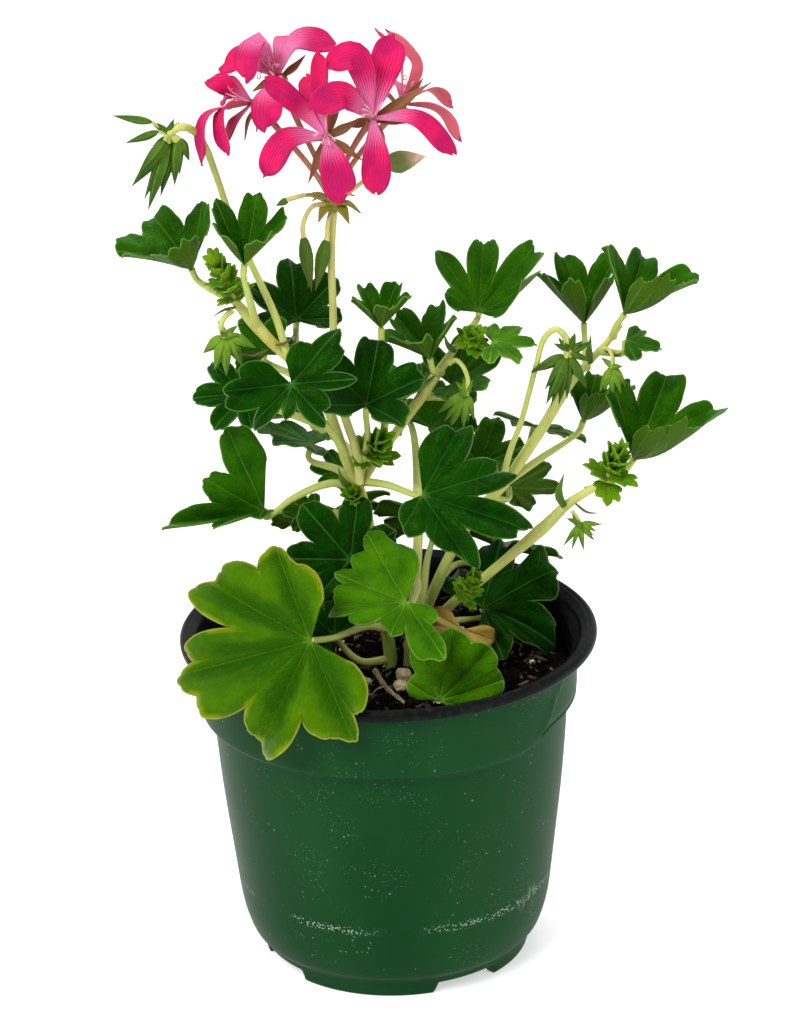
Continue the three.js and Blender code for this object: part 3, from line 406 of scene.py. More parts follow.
# Looks
def leafLook(name, top, deep, below, vein, rim, rimWidth, rough, zone=None):
    look = Look(name)
    across, along, edge, under = look.read("across", "along", "edge", "under")
    cloud, grain = look.noise(110, 3).fade(0.35, 0.68), look.noise(1500, 2)
    primary = 1 - (across * (1 + along * 0.05)).fade(0.12, 0.62)
    side = ((along - across) * 0.29).peaks()
    side = (1 - side).fade(0.86, 0.99) * across.fade(0.1, 0.6) * (1 - across.fade(3, 7))
    net = (1 - look.cells(700, "DISTANCE_TO_EDGE").fade(0.01, 0.09)) * 0.5
    face = cloud.pick(top, deep)
    if zone:  # an old leaf keeps dark green along its veins and yellows between them
        patches = across * 0.22 - edge * 0.10 + look.noise(85, 4, 0.6) * 3.4
        face = ((1 - patches.fade(0.9, 2.7)) * 0.9).pick(face, zone)
        dry = (1 - edge.fade(0.5, 2.2)) * look.noise(120, 3).fade(0.42, 0.6) * 0.6
        face = dry.pick(face, (0.22, 0.26, 0.004))
    face = (primary * 0.6 + side * 0.12).pick(face, vein)
    back = (primary * 0.5 + side * 0.2 + net * 0.1 + cloud * 0.1).pick(below, vein)
    colour = under.fade(0.4, 0.6).pick(face, back)
    # pale margin band: partly the leaf's own paler edge, partly a painted highlight along the edge
    colour = ((1 - edge.fade(rimWidth * 0.3, rimWidth)) * 0.62).pick(colour, rim)
    height = net * 0.25 - primary * 0.35 - side * 0.25 + grain * 0.35 + look.noise(420, 3) * 1.2
    return look.finish(colour, rough + grain * 0.16 + under * 0.18, height, 0.38, specular=0.15, soft=0.05,
                       specularTint=(0.3, 0.75, 0.05, 1), softReach=(0.3, 0.8, 0.02), softScale=0.0009)


def skinLook(name, base, tintTo, knot):
    look = Look(name)
    streaks = look.noise(260, 3, 0.55, (6, 6, 0.5)).fade(0.42, 0.7)
    tint, bulge = look.read("tint", "knot")
    colour = (streaks * 0.35).pick(tint.pick(base, tintTo), tuple(v * 0.62 for v in base))
    colour = (bulge.fade(0.15, 0.95) * 0.85).pick(colour, knot)
    grain = look.noise(1700, 2)
    return look.finish(colour, 0.42 + grain * 0.15, streaks * 0.5 + grain * 0.4, 0.15, soft=0.12,
                       softReach=(0.8, 0.9, 0.3), softScale=0.0012)


def petalLook():
    look = Look("petalPink")
    along, across, under, pale = look.read("along", "across", "under", "pale")
    wobble, grain = look.noise(330, 2) - 0.5, look.noise(1300, 2)
    lines = (across * (3.6 + along * 1.6) + wobble * 0.8).peaks().fade(0.55, 0.95)
    hot = look.noise(150, 2).fade(0.35, 0.7).pick((0.40, 0.002, 0.085), (0.62, 0.005, 0.095))
    face = ((1 - (along - pale * 0.4).fade(0.0, 0.44)) * 0.8).pick(hot, (0.80, 0.25, 0.50))
    dark = (along.fade(0.03, 0.2) * (1 - along.fade(0.3, 0.85)) * 0.75 + 0.16) * lines
    face = dark.pick(face, (0.26, 0.0, 0.055))
    side = across.math("ABSOLUTE").fade(0.6, 1.0) * 0.35 + along.fade(0.85, 1.0) * 0.3
    face = (side * look.noise(240, 3).fade(0.3, 0.7)).pick(face, (0.34, 0.0, 0.06))
    back = (lines * 0.7).pick((0.60, 0.07, 0.14), (0.34, 0.01, 0.05))
    back = (pale * (1 - lines * 0.8) * 0.75).pick(back, (0.64, 0.19, 0.20))
    colour, height = under.fade(0.4, 0.6).pick(face, back), lines * -0.5 + grain * 0.5
    return look.finish(colour, 0.5 + grain * 0.14, height, 0.16, soft=0.2, softScale=0.001,
                       softReach=(1.0, 0.1, 0.3), specular=0.14)


def scaleLook(name, base, tip, edgeTint):  # sepals, bracts and stipules: "along" runs to the tip
    look = Look(name)
    along, across = look.read("along", "across")
    streaks = look.noise(500, 3)
    colour = along.fade(0.45, 1.0).pick(base, tip)
    colour = (across.math("ABSOLUTE").fade(0.55, 1.0) * 0.8).pick(colour, edgeTint)
    colour = (streaks.fade(0.4, 0.75) * 0.35).pick(colour, tuple(v * 0.6 for v in base))
    return look.finish(colour, 0.5 + streaks * 0.15, streaks, 0.15, specular=0.2)


def budLook(name, base, tip):
    look = Look(name)
    along, seam = look.read("along", "seam")
    streaks = look.noise(700, 3)
    colour = along.fade(0.1, 0.85).pick(base, tip)
    colour = (seam.fade(0.6, 0.97) * 0.4).pick(colour, (0.13, 0.25, 0.02))
    colour = along.fade(0.9, 1.0).pick(colour, (0.09, 0.035, 0.02))
    colour = (streaks.fade(0.45, 0.75) * 0.4).pick(colour, tuple(v * 0.6 for v in tip))
    return look.finish(colour, 0.5 + streaks * 0.12, streaks, 0.2, specular=0.15)


scuffAt = (36.5, -24.5, 22)  # a pale scuff low on the front


def potLook():
    look = Look("potPlastic")
    z, (black,) = look.place.part("Z") * 1000, look.read("black")
    flow, grain = look.noise(22, 3, 0.55, (1, 1, 0.35)).fade(0.3, 0.72), look.noise(2600, 2)
    green = flow.pick((0.0025, 0.036, 0.0085), (0.0065, 0.050, 0.0130))
    speck = (1 - look.cells(620).fade(0.08, 0.2)) * look.noise(130, 2).fade(0.55, 0.68)
    fine = (1 - look.cells(1100).fade(0.12, 0.24)) * look.noise(75, 3).fade(0.5, 0.66) * 0.6
    wave = z + look.noise(14, 2) * 3.2 - 1.6
    tide = 1 - (wave - 23.5).math("ABSOLUTE").fade(0.2, 1.7)  # dried water line, low on the pot
    tide = tide * (1 - look.cells(1300).fade(0.22, 0.42)) * look.noise(26, 2).fade(0.43, 0.56)
    marks = (speck * 0.42 + fine * 0.3 + tide * 0.85).math("MINIMUM", 0.85)
    spot = tuple(potAxis + np.array(scuffAt) * mm)
    away = look.add("ShaderNodeVectorMath", {0: look.place, 1: spot}, "Value", operation="DISTANCE") * 1000
    scuff = (1 - away.fade(1.0, 5.5)) * look.noise(700, 4, 0.6, (1, 1, 0.3)).fade(0.5, 0.62)
    marks = (marks + scuff * 0.6) * (1 - black)
    green = marks.pick(green, (0.36, 0.44, 0.34))
    dark = (look.noise(500, 3).fade(0.45, 0.8) * 0.3).pick((0.003, 0.0045, 0.004), (0.035, 0.037, 0.035))
    rough = 0.33 + grain * 0.12 + marks * 0.35 + flow * 0.07
    return look.finish(black.pick(green, dark), rough, grain * 0.5 + marks * 0.8, 0.05, specular=0.05)


def soilLook(name, dark, light, lift):
    look = Look(name)
    lumps, fibre = look.noise(420, 5, 0.6), look.noise(900, 4, 0.65)
    colour = lumps.fade(0.38, 0.72).pick(dark, light)
    colour = (fibre.fade(0.6, 0.8) * lift).pick(colour, (0.08, 0.048, 0.025))
    height = lumps + look.cells(600) * 0.6 + fibre * 0.5
    return look.finish(colour, 0.72 + fibre * 0.2, height, 1.0, specular=0.03)


def chipLook():
    look = Look("perliteCream")
    pits, lumps = look.cells(900), look.noise(500, 5, 0.6)
    colour = lumps.fade(0.35, 0.7).pick((0.48, 0.37, 0.20), (0.72, 0.60, 0.40))
    colour = (1 - pits.fade(0.05, 0.3)).pick(colour, (0.12, 0.085, 0.05))
    return look.finish(colour, 0.85, lumps + pits, 0.5)


def barkLook(name, dark, light):
    look = Look(name)
    grain = look.noise(500, 5, 0.65, (4, 1, 1))
    return look.finish(grain.fade(0.35, 0.7).pick(dark, light), 0.85, grain, 0.4)


def plainGrainLook(name, base, other, scale, rough):
    look = Look(name)
    grain = look.noise(scale, 3)
    return look.finish(grain.fade(0.35, 0.7).pick(base, other), rough + grain * 0.12, grain, 0.12)


# A leaf look takes the colours of its upper face, of the darker clouds on it, of the lower face, the veins
# and the margin, then the margin's width in mm, the roughness and, for an old leaf, the green that stays
looks = {
    "leaf": leafLook("leafGreen", (0.020, 0.095, 0.0010), (0.007, 0.052, 0.0007), (0.036, 0.080, 0.003),
                     (0.075, 0.19, 0.02), (0.11, 0.26, 0.035), 0.42, 0.34),
    # darker copy of the leaf green: partly the leaf's own darker tone, partly painted shade
    "leafDark": leafLook("leafDarkGreen", (0.0026, 0.038, 0.0006), (0.0008, 0.019, 0.0003),
                         (0.026, 0.066, 0.004), (0.05, 0.16, 0.025), (0.10, 0.23, 0.035), 0.42, 0.3),
    # lighter copy of the leaf green: partly the leaf's own lighter tone, partly painted light that makes up
    # for blades turned away from the lamps
    "leafBright": leafLook("leafBrightGreen", (0.050, 0.165, 0.0012), (0.020, 0.090, 0.0008),
                           (0.10, 0.19, 0.012), (0.15, 0.32, 0.03), (0.18, 0.33, 0.06), 0.4, 0.36),
    "leafAged": leafLook("leafYellowing", (0.052, 0.135, 0.0008), (0.030, 0.100, 0.0008), (0.13, 0.2, 0.01),
                         (0.11, 0.22, 0.015), (0.36, 0.37, 0.04), 0.6, 0.34, (0.012, 0.062, 0.0008)),
    "leafDying": leafLook("leafWithered", (0.45, 0.33, 0.075), (0.33, 0.20, 0.03), (0.48, 0.36, 0.12),
                          (0.30, 0.16, 0.06), (0.25, 0.12, 0.05), 0.8, 0.62),
    "leafYoung": leafLook("leafYoungGreen", (0.12, 0.28, 0.002), (0.055, 0.17, 0.0015), (0.13, 0.25, 0.006),
                          (0.17, 0.31, 0.02), (0.15, 0.29, 0.02), 0.25, 0.42),
    "stem": skinLook("stemSkin", (0.52, 0.54, 0.13), (0.24, 0.36, 0.05), (0.55, 0.40, 0.04)),
    "flowerStalk": skinLook("flowerStalkSkin", (0.52, 0.52, 0.15), (0.34, 0.085, 0.055), (0.3, 0.2, 0.03)),
    "bud": budLook("budGreen", (0.052, 0.118, 0.004), (0.022, 0.076, 0.002)),
    "budYoung": budLook("budYoungGreen", (0.14, 0.25, 0.012), (0.07, 0.17, 0.006)),
    "budOlive": scaleLook("budOliveSkin", (0.06, 0.125, 0.005), (0.07, 0.08, 0.008), (0.13, 0.17, 0.015)),
    "closedBud": scaleLook("closedBudSkin", (0.12, 0.15, 0.035), (0.62, 0.40, 0.30), (0.14, 0.13, 0.04)),
    "sepal": scaleLook("sepalSkin", (0.20, 0.095, 0.03), (0.26, 0.07, 0.04), (0.29, 0.08, 0.045)),
    "bract": scaleLook("bractSkin", (0.21, 0.22, 0.015), (0.20, 0.10, 0.02), (0.24, 0.16, 0.04)),
    "stipule": scaleLook("stipuleBrown", (0.11, 0.10, 0.03), (0.06, 0.035, 0.015), (0.08, 0.06, 0.02)),
    "stipuleGreen": scaleLook("stipuleGreen", (0.055, 0.135, 0.008), (0.10, 0.17, 0.012), (0.10, 0.19, 0.02)),
    "petal": petalLook(),
    "filament": plainGrainLook("filamentPink", (0.75, 0.36, 0.42), (0.62, 0.25, 0.32), 900, 0.45),
    "hair": plainGrainLook("hairPale", (0.24, 0.34, 0.10), (0.34, 0.42, 0.16), 600, 0.6),
    "pot": potLook(),
    "soil": soilLook("peatSoil", (0.0012, 0.001, 0.0008), (0.006, 0.0045, 0.003), 0.25),
    "crumb": soilLook("peatCrumb", (0.002, 0.0015, 0.001), (0.014, 0.009, 0.005), 0.55),
    "chip": chipLook(),
    "twig": barkLook("twigBark", (0.17, 0.13, 0.07), (0.42, 0.35, 0.22)),
    "bark": barkLook("barkFlakes", (0.028, 0.018, 0.010), (0.12, 0.08, 0.045)),
}
print("looks ready:", len(looks))


# Leaves: lobes spread like a hand, each with scalloped teeth. Angles are in degrees
leafRule = {"cup": 0, "curl": 0, "fold": 0, "wave": 0.06, "seed": 0, "bends": {}, "sinus": 0.6, "spread": 45,
            "baseSpan": 26, "baseDepth": 0.55, "bulge": 2.0, "round": 1.3, "deeper": 0.9, "teeth": 1.9,
            "toothDepth": 0.05, "halfRays": 13, "thickness": 0.62, "crease": 0.14, "quilt": 0.05,
            "ruffle": 0.042, "roll": 0.035, "rollFrom": 0.86, "widestBase": 170, "veinReach": 24,
            "rings": (0.07, 0.16, 0.26, 0.36, 0.46, 0.56, 0.66, 0.76, 0.85, 0.925, 0.972, 1)}
fiveLobes = [[-98, 0.74], [-49, 0.92], [0, 1], [49, 0.92], [98, 0.74]]
funnelLobes = [[-110, 0.92], [-55, 0.97], [0, 1], [55, 0.97], [110, 0.92]]


def leafRays(leaf):  # each ray: angle, reach, lobe axis, share of the way to the notch, lobe bend
    lobes = leaf.get("lobes", funnelLobes if leaf["cup"] > 29 else fiveLobes)
    dice = np.random.default_rng(100 + leaf["seed"])
    s = np.linspace(0, 1, leaf["halfRays"] + 1)
    t = 0.5 * s + 0.5 * np.sin(s * math.pi / 2)
    rays = []
    for i, (axis, reach, *_) in enumerate(lobes):  # a third number is the depth of the notch after the lobe
        bend = leaf["bends"].get(i, 0)
        for side in (-1, 1):
            j = i + side
            if 0 <= j < len(lobes):
                span = abs(lobes[j][0] - axis)
                notch = (1 - leaf["sinus"]) * min(1, span / leaf["spread"])
                depth, span = (reach + lobes[j][1]) / 2 * (1 - notch) * leaf["deeper"], span / 2
                depth = (lobes[min(i, j)][2:] or [depth])[0]
                lean = bend + (leaf["bends"].get(j, 0) - bend) * t / 2
            else:
                depth, span, lean = reach * leaf["baseDepth"], leaf["baseSpan"], np.full(len(t), bend)
            shape = (1 - t ** leaf["bulge"]) ** (1 / leaf["round"])
            teeth = leaf["teeth"] * (1 + dice.uniform(-0.1, 0.2))
            tooth = np.abs(np.cos(math.pi * teeth * t))
            bite = leaf["toothDepth"] * dice.uniform(0.6, 1.3)
            r = (depth + (reach - depth) * shape) * (1 - bite * (1 - tooth) ** 1.5 * (1 - t ** 4))
            rows = np.column_stack([np.radians(axis + side * span * t), r * leaf["size"],
                                    np.full(len(t), math.radians(axis)), t, lean])[::side]
            rays.append(rows[1:] if rays else rows)
    rays = np.vstack(rays)
    if "veins" in leaf:  # broad lobes with several tips share one main vein
        veins = np.radians(leaf["veins"])
        rays[:, 2] = veins[np.abs(rays[:, :1] - veins).argmin(1)]
        rays[:, 3] = ramp(np.abs(rays[:, 0] - rays[:, 2]) / math.radians(leaf["veinReach"]))
    return rays


def bladeMesh(leaf):
    leaf = {**leafRule, **leaf}
    angle, reach, axis, share, bend = leafRays(leaf).T
    size, seed, cup, curl = leaf["size"], leaf["seed"], leaf["cup"], leaf["curl"]
    gather = min(1 / math.cos(math.radians(cup + curl * 0.7)), math.radians(leaf["widestBase"]) / angle[-1])
    shares = np.array(leaf["rings"])[:, None]
    r = shares * reach
    far = r / size
    slope = np.radians(cup + (curl + bend) * far)
    flat, fold = r * np.cos(slope), math.radians(leaf["fold"])
    across = flat * np.sin(angle * gather)
    rise = r * np.sin(slope) + np.abs(across) * math.sin(fold)
    rise += leaf["wave"] * size * far ** 2 * np.sin(angle * 7.3 + seed)
    rise += leaf["crease"] * size * far * (share - 0.4)
    rise += leaf["quilt"] * size * np.sin(math.pi * share) ** 2 * far * (1 - 0.6 * far)
    rise += leaf["ruffle"] * size * far ** 3 * np.sin(angle * 19 + seed * 3.1)
    rise -= leaf["roll"] * size * ramp((shares - leaf["rollFrom"]) / (1 - leaf["rollFrom"])) ** 2
    grid = np.stack([across * math.cos(fold), flat * np.cos(angle * gather), rise], -1)
    slant = np.gradient(reach, angle) / np.maximum(reach, 1e-6)
    edge = (1 - shares) * reach / np.sqrt(1 + slant ** 2)
    values = {"across": np.append(0.0, np.abs(np.sin(angle - axis)) * r),
              "along": np.append(0.0, np.cos(angle - axis) * r), "edge": np.append(size, edge)}
    points = np.vstack([[[0, 0, 0]], grid.reshape(-1, 3)])
    index = 1 + np.arange(r.size).reshape(r.shape)
    fan = [[0, b, a] for a, b in zip(index[0, :-1].tolist(), index[0, 1:].tolist())]
    quads = gridQuads(index)
    normals = vertexNormals(points, quads)
    normals[0] = (0, 0, 1)
    half = leaf["thickness"] / 2 * (0.55 + 0.45 * ramp(values["edge"] / 2.5))
    rim = np.concatenate([[0], index[:-1, 0], index[-1], index[-2::-1, -1]])
    return thicken(points, fan + quads.tolist(), normals, rim, half, values)


def placedBlade(leaf):
    points, faces, values = bladeMesh(leaf)
    up, toward = unit(leaf["face"]), np.asarray(leaf["toward"], float)
    toward = unit(toward - toward @ up * up)
    points = points @ np.stack([np.cross(toward, up), toward, up]) + np.asarray(leaf["at"], float)
    return points, faces, values


# Petals, sepals, bracts and stipules: straps on a bent path
strapRule = {"stations": 12, "columns": 7, "thickness": 0.34, "widest": 0.45, "claw": 0.55, "wedge": 1,
             "pointed": True, "cup": 0.25, "ruffle": 0, "wave": 0, "pale": 0.0, "seed": 0}


def strapMesh(start, via, tip, face, width, shape, **own):
    strap = {**strapRule, **shape, **own}
    stations, columns, total = strap["stations"], strap["columns"], strap["stations"] * strap["columns"]
    seed, widest, claw = strap["seed"], strap["widest"], strap["claw"]
    path = smoothPath([start, via, tip], 40)
    u = 1 - (1 - np.linspace(0, 1, stations)) ** 1.35
    centre = np.column_stack([np.interp(u, np.linspace(0, 1, 40), path[:, k]) for k in range(3)])
    tangent = unit(np.gradient(centre, axis=0))
    side = unit(np.cross(tangent, unit(face)))
    normal = unit(np.cross(side, tangent))
    breadth = claw + (1 - claw) * np.sin(np.minimum(u / widest, 1) * math.pi / 2) ** strap["wedge"]
    over = ramp((u - widest) / (1 - widest))
    breadth *= np.where(u > widest, 1 - over if strap["pointed"] else np.sqrt(1 - over ** 2.3), 1)
    breadth = np.maximum(breadth, 0.05 if strap["pointed"] else 0.16)[:, None] * width / 2
    v, w = np.linspace(-1, 1, columns)[None, :], u[:, None]
    lift = strap["cup"] * np.abs(v) ** 1.6 * breadth
    lift = lift + strap["ruffle"] * (v ** 2) * w ** 2 * np.sin(w * 11 + v * 2.5 + seed)
    lift = lift + strap["wave"] * np.sin(w * 5 + seed) * w
    grid = centre[:, None] + side[:, None] * (v * breadth)[..., None] + normal[:, None] * lift[..., None]
    if not strap["pointed"]:  # a slightly nicked, uneven tip
        nick = strap["nick"] * (w ** 6) * (np.cos(v * 4 + seed) * 0.8 - np.abs(v) * 0.5)
        grid = grid + tangent[:, None] * (nick + strap["lop"] * v * w ** 4)[..., None]
    flat, index = grid.reshape(-1, 3), np.arange(total).reshape(stations, columns)
    quads = gridQuads(index)
    rim = np.concatenate([index[0, ::-1], index[1:, 0], index[-1, 1:], index[-2:0:-1, -1]])
    values = {"along": np.repeat(u, columns), "across": np.tile(v[0], stations),
              "pale": np.full(total, strap["pale"])}
    half = np.full(total, strap["thickness"] / 2)
    return thicken(flat, quads.tolist(), vertexNormals(flat, quads), rim, half, values)


# Small shapes for the makers, one unit long or one unit in radius
def template(name, points, faces, values=None):
    piece = newPiece(name, points, faces, (), values, ownScale=True)
    bpy.context.scene.collection.objects.unlink(piece)
    return piece


def ballMesh(rings, sides):
    def ring(i, j):
        return 1 + (i - 1) * sides + j % sides

    points, faces = [(0, 0, -1.0)], []
    for i in range(1, rings):
        a = -math.pi / 2 + math.pi * i / rings
        points += [(math.cos(a) * math.cos(b), math.cos(a) * math.sin(b), math.sin(a))
                   for b in np.linspace(0, 2 * math.pi, sides, endpoint=False)]
    points.append((0, 0, 1.0))
    for j in range(sides):
        faces.append([0, ring(1, j + 1), ring(1, j)])
        faces += [[ring(i, j), ring(i, j + 1), ring(i + 1, j + 1), ring(i + 1, j)]
                  for i in range(1, rings - 1)]
        faces.append([ring(rings - 1, j), ring(rings - 1, j + 1), len(points) - 1])
    return np.array(points), faces


def budShape():  # closed bud: five ridges and a split, pointed tip
    rings, sides = 15, 20
    z = np.linspace(0, 1, rings + 1)
    profile = np.interp(z, [0, 0.06, 0.18, 0.36, 0.6, 0.8, 0.93, 1],
                        [0.3, 0.6, 0.9, 1, 0.74, 0.4, 0.15, 0.03])
    turn = np.linspace(0, 2 * math.pi, sides, endpoint=False)
    ridge = 1 + 0.13 * np.cos(5 * turn)[None, :] * ramp(z * 3)[:, None]
    radius = profile[:, None] * ridge
    grid = np.stack([radius * np.cos(turn), radius * np.sin(turn), np.repeat(z[:, None], sides, 1)], -1)
    points = np.vstack([grid.reshape(-1, 3), [[0, 0, 0], [0, 0, 1.02]]])
    faces = ringQuads(rings + 1, sides)
    low, high, last = len(points) - 2, len(points) - 1, rings * sides
    for j in range(sides):
        k = (j + 1) % sides
        faces += [[low, k, j], [high, last + j, last + k]]
    return points, faces, {"along": np.append(np.repeat(z, sides), [0, 1]),
                           "seam": np.append(np.tile((np.cos(5 * turn) + 1) / 2, rings + 1), [0, 0])}


def youngLeaf():  # small folded, toothed leaf, blade up +Z
    points, faces, values = bladeMesh({
        "size": 10, "cup": 10, "fold": 10, "seed": 3, "wave": 0.03, "toothDepth": 0.1, "teeth": 1.0,
        "lobes": [[-58, 0.62], [-29, 0.86], [0, 1], [29, 0.86], [58, 0.62]], "sinus": 0.75, "halfRays": 4,
        "rings": (0.3, 0.6, 0.85, 1), "thickness": 0.8, "baseDepth": 0.2, "baseSpan": 24, "crease": 0.05,
        "ruffle": 0, "roll": 0})
    return np.column_stack([points[:, 0], -points[:, 2], points[:, 1]]) / 10, faces, values


# Stems, from the soil up: each part by its points and radii, each tuft of young leaves by its foot, aim,
# size, seed and length. The stems also carry the stalks of their leaves
stems = {
    "stem_left": {
        "parts": [
            ([[1, -6, 74], [0, -6, 92], [-3, -6, 110], [-5, -7, 126], [-7, -8, 138], [-10, -9, 147],
              [-15, -12, 164], [-22, -14, 175], [-29, -15, 183], [-37, -17, 194], [-41, -18, 199]],
             [1.9, 1.9, 1.7, 1.6, 2.4, 1.6, 1.5, 1.5, 1.4, 1.8, 0.8]),
            ([[-7, -8, 138], [-2, -5, 145], [5, -1, 153], [16, 4, 167], [22, 6, 175], [24, 5, 178]],
             [1.5, 1.4, 1.3, 1.7, 1.2, 0.8])],
        "tufts": [
            ([-36.5, -19, 195.5], [-0.4, -0.25, 0.9], 10.5, 8, 1.2),
            ([-4.5, -10, 147.5], [0.4, -0.55, 0.7], 11.5, 2, 0.75),
            ([-8, -11, 136.5], [-0.1, -0.6, 0.8], 6, 9, 0.4),
            ([24, 2, 175], [0.2, -0.7, 0.6], 7.5, 3, 0.75)]},
    "stem_centre": {
        "parts": [([[5, -8, 74], [6, -6, 92], [8, -5, 112], [9, -5, 127], [9, -5, 137]],
                   [1.9, 1.8, 1.5, 1.4, 1.5])],
        "tufts": []},
    "stem_right": {
        "parts": [([[7, 2, 74], [9, 2, 92], [14, 2, 107], [23, 4, 123], [33, 5, 134], [42, 6, 147],
                    [50, 7, 160], [55, 7, 166], [61, 6, 173], [64, 5, 177.6]],
                   [1.9, 1.8, 1.6, 1.5, 1.7, 1.5, 1.5, 1.6, 1.1, 0.85])],
        "tufts": []},
    "stem_low_right": {
        "parts": [([[8, -3, 74], [9, -4, 90], [15, -5, 100], [27, -6, 111], [43, -6, 125], [49, -6, 131],
                    [57, -8, 137.2], [60, -9.4, 140.4]], [1.9, 1.7, 1.5, 1.4, 1.4, 1.9, 1.3, 1])],
        "tufts": [
            ([59.5, -10, 139.5], [0.3, -0.35, 0.9], 12, 5, 0.75),
            ([20.5, -9, 106], [0.35, -0.4, 0.8], 8.5, 6, 1)]},
}


def row(name, stem, at, face, toward, size, stalk, **shape):
    return {"name": name, "stem": "stem_" + stem, "at": at, "face": face, "toward": toward, "size": size,
            "stalk": stalk, **shape}


